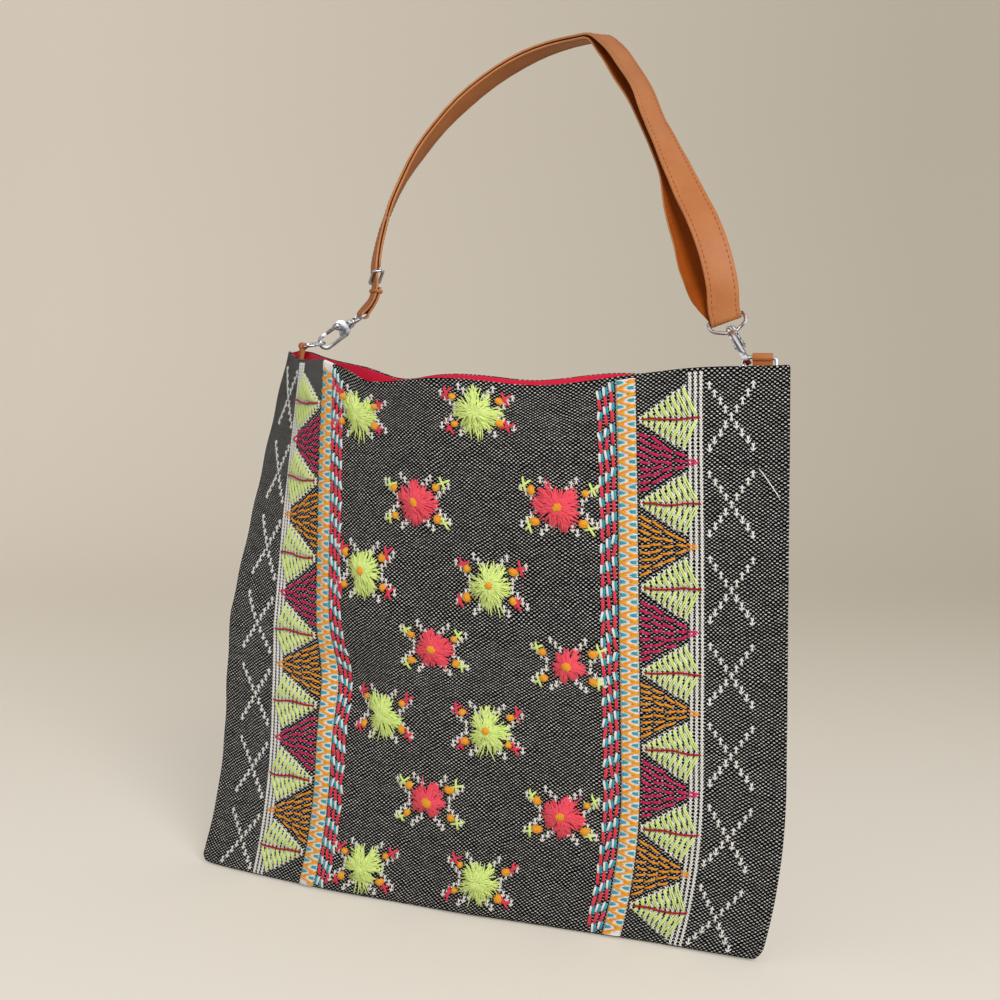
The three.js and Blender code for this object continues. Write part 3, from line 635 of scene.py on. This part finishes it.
def runningTriangles(sideName, side):
    tip, base = embroidery["leafTip"], embroidery["leafBase"] - 3
    groups = {"orange": [], "magenta": []}
    for k in range(6):
        middle = embroidery["rows"][k] + 34.1
        name = "magenta" if k % 2 else "orange"
        length = (base - tip) / 5
        for column in range(5):
            s0, s1 = tip + 0.8 + column * length, tip + (column + 1) * length - 0.2
            spread = 27.6 * (1 - (s0 - tip) / (base - tip))
            spreadEnd = 27.6 * (1 - (s1 - tip) / (base - tip))
            count = max(1, round(spread / 3.05))
            for row in range(count):
                share = ((row + 0.5) / count * 2 - 1) if count > 1 else 0.0
                share += (0.5 / count) * (0.5 if column % 2 else -0.5)
                bend, shift = rng.uniform(-1.0, 1.0), rng.uniform(-1.1, 1.1)
                groups[name].extend(pairedStitch((side * (s0 + shift), middle + share * spread - bend),
                                                 (side * (s1 + shift), middle + share * spreadEnd + bend), 0.9,
                                                 1.0 if name == "magenta" else 0.9, 3, 0.5))
    names = [f"{sideName}_magenta_triangle_{k}" for k in (2, 4, 6)]
    threadPiece(f"runningMagenta_{sideName}", groups["magenta"], 0.58, yarns["magenta"], "magenta_yarn", names)
    names = [f"{sideName}_orange_triangle_{k}" for k in (1, 3, 5)]
    threadPiece(f"runningOrange_{sideName}", groups["orange"], 0.52, yarns["amber"], "orange_yarn", names)


def crossColumn(side):
    white = []
    ds, dt = embroidery["crossStep"]
    for row in embroidery["rows"]:
        for k in range(-4, 5):
            for way in ((1, -1) if k else (1,)):
                white.extend(boneStitch(side * embroidery["crossColumn"] + k * ds, row + way * k * dt,
                                        1 if way * k >= 0 else -1, rng))
    return white


def bandEnds(side):
    # The white ground threads turn over the mouth edge at the left tab
    return [[(onCloth(side * (138 + a), 470 + lift, 1.2), 1.0) for lift in (0, 3)]
            + [(onCloth(side * (138 + a), 477.5, 1.3), 1.0), (onCloth(side * (138 + a), 478.3, 0.2), 1.0),
               (onCloth(side * (138 + a), 477, -1.4), 0.8)] for a in (0.4 + 1.15 * k for k in range(13))]


for sideName, side in (("left", -1), ("right", 1)):
    white = zigzagBand(sideName, side) + dashBand(sideName, side) + (bandEnds(side) if side < 0 else [])
    threadPiece(f"bandWhite_{sideName}", white, 0.56, yarns["white"], "green_yarn")
    threadPiece(f"leafWhite_{sideName}", leafTriangles(sideName, side), 0.64, yarns["white"], "green_yarn", sides=0)
    runningTriangles(sideName, side)
    threadPiece(f"crossWhite_{sideName}", crossColumn(side), 0.6, yarns["white"], "green_yarn", sides=0)
    print("embroidery made:", sideName)

# Flowers: tufts on bone stitch stars with crosses and knots; each hand-made one sits and spreads a little differently
flower = {
    "radius": 17.8, "strands": 200, "knot": (21, 12.5), "cross": (5.2, 3.4),
    "layers": ((1.0, 0.7), (0.92, 1.9), (0.78, 3.2), (0.55, 4.4)), "hanging": {"green": 7, "pink": 1},
    "star": [(15, 22), (10.8, 18.2), (6.6, 14.4), (31.5, 15.5), (27.3, 11.7), (23.1, 7.9), (19.2, 3.6)],
    "shift": {(6, 0): (-7.5, 2), (6, 2): (-8, 10.5), (5, 1): (-7, -5.7), (5, 3): (-1.7, -3.3), (4, 0): (-2, -1),
              (4, 2): (-0.8, -2.4), (3, 1): (5.6, 7.8), (3, 3): (3.5, 2.6), (2, 0): (12, 4.8), (2, 2): (-8.7, 2.6),
              (1, 1): (-1.7, 0.4), (1, 3): (-3.5, 2.6), (0, 0): (2, -1), (0, 2): (-7.7, 3)},
    "size": {(6, 0): 1.2, (6, 2): 1.24, (5, 1): 1.08, (5, 3): 1.12, (4, 0): 1.02, (4, 2): 1.06, (3, 1): 0.98,
             (3, 3): 0.88, (2, 0): 1.14, (2, 2): 1.12, (1, 1): 0.95, (1, 3): 1.0, (0, 0): 1.08, (0, 2): 1.0},
}


def tuft(s0, t0, size, kind, local):
    # Cut yarn fans out in rounded lobes from a short seam in the middle; a few strands hang down past the green ones
    runs = []
    count = local.randint(5, 7)
    lobes = [(2 * math.pi * (k + local.uniform(-0.25, 0.25)) / count, local.uniform(0.86, 1.16))
             for k in range(count)]
    for k in range(flower["strands"]):
        angle = 2 * math.pi * k * 0.6180339 + local.uniform(-0.05, 0.05)
        middle, longer = min(lobes, key=lambda lobe: abs(math.remainder(lobe[0] - angle, 2 * math.pi)))
        off = math.remainder(angle - middle, 2 * math.pi)
        layerReach, lift = flower["layers"][k % 4]
        reach = flower["radius"] * size * longer * (1.04 - 0.2 * (abs(off) * count / math.pi) ** 3)
        reach *= layerReach * local.uniform(0.9 if kind == "green" else 0.94, 1.05)
        sway = local.uniform(-0.35, 0.35) - off * 0.35
        s1, t1 = s0 + local.uniform(-2.6, 2.6), t0 + local.uniform(-2.6, 2.6)
        run = []
        for a, high in ((0.0, 0.7), (0.35, 1.0), (0.72, 0.85), (1.0, 0.3)):
            turn = angle + sway * a * a
            across = s1 * (1 - a) + s0 * a + math.cos(turn) * reach * a
            run.append((onCloth(across, t1 * (1 - a) + t0 * a + math.sin(turn) * reach * a, 0.7 + lift * high),
                        1.0 if a < 1 else 0.8))
        runs.append(run)
    for _ in range(flower["hanging"][kind]):
        turn = math.radians(local.uniform(-120, -62) if kind == "green" else local.uniform(0, 360))
        reach = flower["radius"] * size * local.uniform(1.12, 1.42)
        bend = local.uniform(-2.2, 2.2)
        runs.append([(onCloth(s0 + math.cos(turn) * reach * a + bend * math.sin(a * 4),
                              t0 + math.sin(turn) * reach * a, 0.7 + 2.6 * (1 - a)), 0.8)
                     for a in (0.2, 0.5, 0.8, 1.0)])
    return runs


def knotRuns(s0, t0, radius, local, lift=0.0):
    # A French knot: yarn wound flat, a little longer one way
    runs = []
    tilt, stretch = local.uniform(0, math.pi), local.uniform(0.95, 1.6)
    for k in range(5):
        offset = (k - 2) / 2.4 * radius
        reach = stretch * math.sqrt(max(0.1, radius ** 2 - offset ** 2 * 0.85)) * local.uniform(0.88, 1.08)
        ca, sa = math.cos(tilt), math.sin(tilt)
        runs.append([(onCloth(s0 + ca * a * reach - sa * offset, t0 + sa * a * reach + ca * offset,
                              lift + high * (1 - abs(k - 2) * 0.14)), 1.0)
                     for a, high in ((-1, -0.3), (-0.6, 1.9), (0, 2.7), (0.6, 1.9), (1, -0.3))])
    return runs


flowerWhite, tufts, crosses, knots = [], {"green": [], "pink": []}, {"green": [], "coral": []}, []
tuftNames = {"green": [], "pink": []}
for row, t in enumerate(embroidery["rows"]):
    for column, s in enumerate(embroidery["columns"]):
        if (row + column) % 2:
            continue
        kind = "green" if row % 2 == 0 else "pink"
        local = random.Random(row * 10 + column + 500)
        ds, dt = flower["shift"][row, column]
        s1, t1 = s + ds, t - 1 + dt
        tuftNames[kind].append(f"{kind}_tuft_{row + 1}_{column + 1}")
        tufts[kind].extend(tuft(s1, t1, flower["size"][row, column], kind, local))
        for sx in (1, -1):
            for sy in (1, -1):
                for ds, dt in flower["star"]:
                    if t1 + sy * dt < bagForm["height"] - 5:
                        flowerWhite.extend(boneStitch(s1 + sx * ds, t1 + sy * dt, sy, rng))
                ks, kt = flower["knot"]
                ks, kt = s1 + sx * (ks + local.uniform(-2, 1.5)), t1 + sy * (kt + local.uniform(-1.5, 1.5))
                knots.extend(knotRuns(ks, kt, local.uniform(2.2, 3.2), local, 0.9))
                cs, ct = flower["cross"]
                cs, ct = ks + sx * (cs + local.uniform(-1.2, 1.2)), kt + sy * (ct + local.uniform(-1.2, 1.2))
                yarnKind = "coral" if kind == "green" else "green"
                for angle in (0.5, 1.9):
                    angle += local.uniform(-0.35, 0.35)
                    a = Vector((math.cos(angle), math.sin(angle))) * local.uniform(5.0, 7.4)
                    crosses[yarnKind].extend(pairedStitch((cs - a.x, ct - a.y), (cs + a.x, ct + a.y), 1.5, 0.9))
                if local.random() < 0.5:
                    a = Vector((local.uniform(-1, 1), local.uniform(-1, 1))).normalized() * 5
                    crosses[yarnKind].append(stitch((ks - a.x, kt - a.y), (ks + a.x, kt + a.y), 1.3))
        if kind == "pink" or (row, column) in ((4, 2), (2, 2), (4, 0)):
            knots.extend(knotRuns(s1, t1, 3.6 if kind == "pink" else 2.6, local, 4.4))
for kind, thick in (("green", 0.6), ("pink", 0.74)):
    threadPiece(f"tufts_{kind}", tufts[kind], thick, yarns[kind], f"{kind}_yarn", tuftNames[kind])
threadPiece("starWhite", flowerWhite, 0.6, yarns["white"], "green_yarn", sides=0)
threadPiece("starCoral", crosses["coral"], 0.6, yarns["coral"], "coral_yarn")
threadPiece("starGreen", crosses["green"], 0.56, yarns["green"], "green_yarn")
threadPiece("starKnots", knots, 0.85, yarns["orange"], "orange_yarn")
strays = [[(onCloth(250 + 16 * a, 400 - 14 * a - 9 * a * a, 0.8 + 5 * math.sin(a * 3.1)), 1.0)
           for a in (0, 0.15, 0.3, 0.45, 0.6, 0.75, 0.9, 1.0)]]
threadPiece("strayThread", strays, 0.42, yarns["white"], "green_yarn")
print("flowers made")

# Strap: its route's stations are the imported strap's, in millimetres before the origin is moved
strapForm = {"width": 25, "thick": 2.2, "gap": 0.8, "bar": 1.4, "free": 0.3, "stitchIn": 3.2, "stitchPitch": 4.6,
             "top": (50, 158, 752), "topHalf": 14, "leftEye": (-158.5, 138.2, 511.7),
             "rightEye": (214.2, 18.8, 512.2)}
leftMiddle = [(-148, 140, 527, 0.586, -0.81), (-146, 142, 539, 0.586, -0.81), (-149, 146, 553, 0.586, -0.81),
              (-148, 154, 580, 0.52, -0.85), (-137, 168, 625, 0.35, -0.94), (-110, 183, 674, 0, -1),
              (-66, 189, 716, -0.3, -0.95), (-10, 183, 744, -0.5, -0.87)]
rightOuter = [(83, 133, 742, -0.5, -0.86), (105, 111, 720, -0.45, -0.88), (124, 90, 698, -0.4, -0.9),
              (138, 72, 675, -0.45, -0.88), (152, 57, 655, -0.6, -0.8), (170, 38, 628, -0.8, -0.6),
              (183, 28, 607, -0.9, -0.44), (195, 20, 588, -0.93, -0.37), (206, 14, 564, -0.93, -0.37),
              (213, 12.5, 538, -0.93, -0.37)]
rightInner = [(198, 20, 530, -0.9, -0.4), (188, 24, 546, -0.7, -0.7), (178, 29, 571, -0.5, -0.86),
              (168, 37, 597, -0.45, -0.89), (160, 50, 625, -0.45, -0.89), (147, 68, 647, -0.45, -0.88),
              (134, 82, 666, -0.4, -0.9), (119, 98, 688, -0.42, -0.9), (100, 116, 711, -0.5, -0.86),
              (80, 137, 735, -0.55, -0.83)]
leftWide, topWide, topAlong = Vector((0.6, -0.8, 0)), Vector((-0.552, -0.834, 0)), Vector((0.834, -0.552, 0))
rightWide = Vector((-0.8625, -0.3766, -0.3381))
leftUp, rightDown = Vector((0.4194, 0.3172, 0.8505)), Vector((0.3223, 0.1064, -0.9406))
layerHalf = (strapForm["thick"] + strapForm["gap"]) / 2
bendRadius = strapForm["bar"] + strapForm["free"] + strapForm["thick"] / 2
topMiddle = Vector(strapForm["top"])
leftEye, rightEye = Vector(strapForm["leftEye"]), Vector(strapForm["rightEye"])


def station(entry):
    return Vector(entry[:3]), Vector((entry[3], entry[4], 0)).normalized()


def topAt(share, offset):
    return topMiddle + topAlong * share * strapForm["topHalf"] - Vector((0, 0, offset)), topWide.copy()


def smoothLine(stations, perSpan, first, last):
    # Smooth line of (point, direction, width direction) through stations
    points = [p for p, w in stations]
    count = len(points)
    ways = []
    for i in range(count):
        if i == 0:
            ways.append(first.normalized() if first else (points[1] - points[0]).normalized())
        elif i == count - 1:
            ways.append(last.normalized() if last else (points[-1] - points[-2]).normalized())
        else:
            before, after = points[i] - points[i - 1], points[i + 1] - points[i]
            ways.append((before.normalized() * after.length + after.normalized() * before.length).normalized())
    line = []
    for i in range(count - 1):
        reach = (points[i + 1] - points[i]).length / 3
        a, b = points[i] + ways[i] * reach, points[i + 1] - ways[i + 1] * reach
        for k in range(perSpan + (1 if i == count - 2 else 0)):
            f = k / perSpan
            g = 1 - f
            place = points[i] * g ** 3 + a * 3 * g * g * f + b * 3 * g * f * f + points[i + 1] * f ** 3
            way = ((a - points[i]) * g * g + (b - a) * 2 * g * f + (points[i + 1] - b) * f * f).normalized()
            ease = f * f * (3 - 2 * f)
            wide = (stations[i][1] * (1 - ease) + stations[i + 1][1] * ease).normalized()
            line.append((place, way, wide))
    return line


def squared(vector, to):
    return (vector - to * vector.dot(to)).normalized()


def shifted(line, offset):
    moved = []
    for place, way, wide in line:
        across = squared(wide, way)
        moved.append((place + way.cross(across) * offset, way, wide))
    return moved


def bendRound(centre, heading, wide, sense, steps=12):
    down = squared(heading, wide)
    sideways = down.cross(wide) * sense
    line = []
    for i in range(steps + 1):
        angle = math.pi * i / steps
        place = centre + sideways * bendRadius * math.cos(angle) + down * bendRadius * math.sin(angle)
        line.append((place, down * math.cos(angle) - sideways * math.sin(angle), wide.copy()))
    return line


def turnedBack(line):
    return [(place, -way, wide) for place, way, wide in reversed(line)]


perSpan = 4
middleLine = smoothLine([(leftEye, leftWide)] + [station(e) for e in leftMiddle] + [topAt(-1, 0)], perSpan,
                        leftUp, topAlong)


def flared(offset):
    moved = shifted(middleLine, offset)
    for k, spread in enumerate((math.copysign(bendRadius, offset), offset * 1.45, offset * 1.15)):
        moved[k] = shifted([middleLine[k]], spread)[0]
    return moved


leftOuterLine, leftInnerLine = flared(-layerHalf), flared(layerHalf)
leftBend = bendRound(leftEye, -leftUp, leftWide, -1)
rightBend = bendRound(rightEye, rightDown, rightWide, -1)
outerRight = smoothLine([topAt(1, -layerHalf)] + [station(e) for e in rightOuter] + [(rightBend[0][0], rightWide)],
                        perSpan, topAlong, rightDown)
innerRight = smoothLine([(rightBend[-1][0], rightWide)] + [station(e) for e in rightInner] + [topAt(1, layerHalf)],
                        perSpan, -rightDown, -topAlong)
strapRoute = (turnedBack(leftInnerLine[1:8]) + leftBend + leftOuterLine[1:] + outerRight + rightBend[1:-1]
              + innerRight + turnedBack(leftInnerLine[12:]))


def toRow(place):
    return (place - Vector(bagForm["rest"])) / 1000


def strapProfile(width, thick, edge):
    # Rounded flat section, as (across, through) in millimetres
    points = []
    for cx, cy, start in ((1, 1, 0), (-1, 1, 90), (-1, -1, 180), (1, -1, 270)):
        for k in range(4):
            angle = math.radians(start + 30 * k)
            points.append((cx * (width / 2 - edge) + edge * math.cos(angle),
                           cy * (thick / 2 - edge) + edge * math.sin(angle)))
    return points


def strapFaceLook(k):
    # Around the section: finished face 0, the face towards the inside of the loop 1, painted darker as shade between
    # the layers, cut edge 2
    if k in (6, 7, 8, 14, 15, 0):
        return 2
    return 1 if k < 6 else 0


def sweptStrip(name, route, profile, materials, slot, replaced=()):
    bm = bmesh.new()
    count = len(profile)
    made = bmesh.ops.create_grid(bm, x_segments=len(route) - 1, y_segments=count, size=0.5)
    for face in bm.faces:
        face.material_index = strapFaceLook(int((face.calc_center_median().y + 0.5) * count))
    for vert in made["verts"]:
        i = round((vert.co.x + 0.5) * (len(route) - 1))
        across, through = profile[round((vert.co.y + 0.5) * count) % count]
        place, way, wide = route[i]
        wide = squared(wide, way)
        vert.co = toRow(place + wide * across + way.cross(wide) * through)
    bmesh.ops.remove_doubles(bm, verts=bm.verts, dist=0.000001)
    bmesh.ops.holes_fill(bm, edges=bm.edges, sides=0)
    bmesh.ops.recalc_face_normals(bm, faces=bm.faces)
    finishMesh(name, bm, materials, slot, replaced)


# The second leather is painted shade on the faces towards the inside of the loop
sweptStrip("leatherStrap", strapRoute, strapProfile(strapForm["width"], strapForm["thick"], 0.75),
           [leather, innerFacePaintedShade, rawEdge], "tan_leather", ("strap",))

# Sewn rows along both edges of both faces
routeLength = [0.0]
for (a, _, _), (b, _, _) in zip(strapRoute, strapRoute[1:]):
    routeLength.append(routeLength[-1] + (b - a).length)


def onStrap(length, across, through):
    i = next((k for k in range(1, len(routeLength)) if routeLength[k] >= length), len(routeLength) - 1)
    f = (length - routeLength[i - 1]) / max(1e-6, routeLength[i] - routeLength[i - 1])
    (p, way, wide), (q, way2, wide2) = strapRoute[i - 1], strapRoute[i]
    place, way, wide = p.lerp(q, f), way.lerp(way2, f).normalized(), wide.lerp(wide2, f).normalized()
    wide = squared(wide, way)
    return toRow(place + wide * across + way.cross(wide) * through)


strapStitches = []
edgeAt = strapForm["width"] / 2 - strapForm["stitchIn"]
for k in range(int((routeLength[-1] - 6) / strapForm["stitchPitch"])):
    start = 3 + k * strapForm["stitchPitch"]
    for across in (-edgeAt, edgeAt):
        for face in (-1, 1):
            lift = strapForm["thick"] / 2
            strapStitches.append([(onStrap(start, across, face * (lift - 0.25)), 0.8),
                                  (onStrap(start + 1.5, across, face * (lift + 0.14)), 1.0),
                                  (onStrap(start + 3.0, across, face * (lift - 0.25)), 0.8)])
threadPiece("strapSewing", strapStitches, 0.36, leatherThread, "tan_leather")
print("strap made:", round(routeLength[-1]), "mm of leather")

# Slider and keeper at the left end: a flat metal loop round both layers
sliderForm = {"at": 10, "width": 29.5, "depth": 9.0, "wire": 1.5, "keeperAt": 6}


def loopAround(name, index, width, depth, wire, material, slot, squareWire=False):
    place, way, wide = middleLine[index]
    wide = squared(wide, way)
    through = way.cross(wide)
    outline = strapProfile(width, depth, min(2.4, depth / 2.1))
    count = len(outline)
    around = 10
    bm = bmesh.new()
    made = bmesh.ops.create_grid(bm, x_segments=count, y_segments=around, size=0.5)
    for vert in made["verts"]:
        i = round((vert.co.x + 0.5) * count) % count
        k = round((vert.co.y + 0.5) * around) % around
        a, b = outline[i]
        c, d = outline[(i + 1) % count]
        e, f = outline[i - 1]
        out = Vector((d - f, e - c, 0)).normalized()
        angle = 2 * math.pi * k / around
        wave = wire * math.cos(angle)
        high = (wire * 2.2 if squareWire else wire) * math.sin(angle)
        local = wide * (a + out.x * wave) + through * (b + out.y * wave) + way * high
        vert.co = toRow(place + local)
    bmesh.ops.remove_doubles(bm, verts=bm.verts, dist=0.000001)
    bmesh.ops.recalc_face_normals(bm, faces=bm.faces)
    finishMesh(name, bm, [material], slot)


loopAround("sliderLoop", sliderForm["at"], sliderForm["width"], sliderForm["depth"], sliderForm["wire"], nickel,
           "polished_steel")
loopAround("leatherKeeper", sliderForm["keeperAt"], 26.6, 7.4, 0.75, leather, "tan_leather", True)


# Tabs and metal fittings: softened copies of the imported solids
def softenedCopy(node, name, body, material, slot, width, segments, smoothBy):
    bm = bmesh.new()
    bm.from_mesh(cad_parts[node].data)
    bmesh.ops.remove_doubles(bm, verts=bm.verts, dist=0.00001)
    bmesh.ops.dissolve_limit(bm, angle_limit=math.radians(1), verts=bm.verts, edges=bm.edges)
    piece = finishMesh(name, bm, [material], slot, (node,), body)
    soft = piece.modifiers.new("softEdges", "BEVEL")
    soft.width = width
    soft.segments = segments
    soft.limit_method = "ANGLE"
    soft.angle_limit = math.radians(smoothBy)
    applyModifiers(piece)
    piece.data.shade_smooth()
    sharp = bmesh.new()
    sharp.from_mesh(piece.data)
    bmesh.ops.triangulate(sharp, faces=[f for f in sharp.faces if len(f.verts) > 4])
    for edge in sharp.edges:
        edge.smooth = edge.calc_face_angle(0) < math.radians(45)
    sharp.to_mesh(piece.data)
    sharp.free()


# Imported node, new name, body, material, slot, edge width, segments and the angle from which edges are softened
fittings = (("tab", "leatherTab", "bag", leather, "tan_leather", 0.0004, 3, 30),
            ("ring", "tabRing", "ring", nickel, "polished_steel", 0.00025, 1, 60),
            ("swivel_eye", "swivelEye", "eye", nickel, "polished_steel", 0.0003, 2, 50),
            ("hook", "triggerHook", "hook", nickel, "polished_steel", 0.0005, 3, 35),
            ("gate_rivet", "gateRivet", "hook", nickel, "polished_steel", 0.0002, 2, 35),
            ("gate", "hookGate", "gate", nickel, "polished_steel", 0.0005, 3, 35))
for sideName in ("left", "right"):
    for node, name, body, *look in fittings:
        body = body if body == "bag" else f"{sideName}_{body}"
        softenedCopy(f"{sideName}_{node}", f"{name}_{sideName}", body, *look)
print("fittings made")

# Pale floor and backdrop, with painted shade and a painted glow, and soft lights
studio = {"floorGap": 0.0015, "left": ("d4caba", "dfd8cb"), "right": ("b8af9f", "d1cabd"), "paintedGlow": 0.42,
          "sky": 0.44, "aim": Vector((0, 0, -0.45)), "away": 1.6, "curl": 0.9, "near": 3.6, "high": 3.0, "wide": 9}
turnToView = Matrix.Rotation(math.radians(cameraLook["yaw"]), 3, "Z")
paper, paperTree, paperShader = newMaterial("palePaperPaintedLight")
# Uncoated pale paper with painted shade, a little darker to the right and farther away; its painted glow, which adds
# painted light, is only for the camera
paperPlace = addNode(paperTree, "ShaderNodeTexCoord")


def shareAlong(way, low, high, settings=None):
    # 0 to 1 along a level direction of the view
    far = addNode(paperTree, "ShaderNodeVectorMath", {"operation": "DOT_PRODUCT"},
                  {0: paperPlace.outputs["Object"], 1: turnToView @ Vector(way)})
    return addNode(paperTree, "ShaderNodeMapRange", settings,
                   {"Value": far.outputs["Value"], "From Min": low, "From Max": high}).outputs[0]


# Painted shade: the paper's colour darkens towards the right and farther away
acrossShare = shareAlong((1, 0, 0), -1.1, 0.9)
nearShare = shareAlong((0, 1, 0), 1.5, -0.3, {"interpolation_type": "SMOOTHSTEP"})
paperShadedTones = [mixColour(paperTree, nearShare, toLinear(studio[side][0]), toLinear(studio[side][1]))
              for side in ("left", "right")]
paperShadedTone = mixColour(paperTree, acrossShare, *paperShadedTones)
# Painted light: for camera rays the paper glows in its own colour, though it is no lamp
paperRay = addNode(paperTree, "ShaderNodeLightPath")
paperPaintedGlow = calc(paperTree, "Math", "MULTIPLY", paperRay.outputs["Is Camera Ray"], studio["paintedGlow"])
for socket in ("Base Color", "Emission Color"):
    paperTree.links.new(paperShadedTone, paperShader.inputs[socket])
paperTree.links.new(paperPaintedGlow, paperShader.inputs["Emission Strength"])
setShine(paperShader, 0.9, 0.1)
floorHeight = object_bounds()[0][2] - studio["floorGap"]
bm = bmesh.new()
made = bmesh.ops.create_grid(bm, x_segments=1, y_segments=40, size=0.5)
away, radius = studio["away"], studio["curl"]
lengths = (studio["near"], math.pi / 2 * radius, studio["high"])
for vert in made["verts"]:
    run = (vert.co.y + 0.5) * sum(lengths)
    if run < lengths[0]:
        y, z = -lengths[0] + away + run, 0.0
    elif run < lengths[0] + lengths[1]:
        turn = (run - lengths[0]) / radius
        y, z = away + math.sin(turn) * radius, radius - math.cos(turn) * radius
    else:
        y, z = away + radius, radius + run - lengths[0] - lengths[1]
    vert.co = turnToView @ Vector((vert.co.x * studio["wide"], y, z + floorHeight))
bm.normal_update()
meshPiece("paperSweep", bm, [paper])

world = bpy.data.worlds.new("studioAir")
bpy.context.scene.world = world
world.use_nodes = True
air, airTree = world.node_tree.nodes["Background"], world.node_tree
# Polished metal mirrors dark and bright bands; everything else sees even air
bands = addNode(airTree, "ShaderNodeTexWave", {"wave_type": "BANDS", "bands_direction": "DIAGONAL"},
                {"Scale": 0.55, "Distortion": 1.2, "Phase Offset": 1.0})
contrast = addNode(airTree, "ShaderNodeMapRange", inputs={"Value": bands.outputs["Fac"], "From Min": 0.3,
                                                          "From Max": 0.7, "To Min": 0.06, "To Max": 1.35})
airRay = addNode(airTree, "ShaderNodeLightPath")
airLevel = addNode(airTree, "ShaderNodeMix", {"data_type": "FLOAT"},
                   {0: airRay.outputs["Is Glossy Ray"], 2: studio["sky"], 3: contrast.outputs[0]})
airTree.links.new(airLevel.outputs[0], air.inputs["Strength"])
air.inputs["Color"].default_value = (0.98, 0.98, 1.0, 1)
lamps = {"keyLamp": ((1.7, -2.0, 1.0), 46, 1.3), "fillLamp": ((-1.9, -1.6, 0.2), 3, 1.6)}
for name, (place, power, size) in lamps.items():
    data = bpy.data.lights.new(name, "AREA")
    data.energy = power
    data.shape = "DISK"
    data.size = size
    lamp = putInScene(name, data)
    lamp.location = place
    lamp.rotation_euler = (studio["aim"] - Vector(place)).to_track_quat("-Z", "Y").to_euler()
print("stage and lights made")
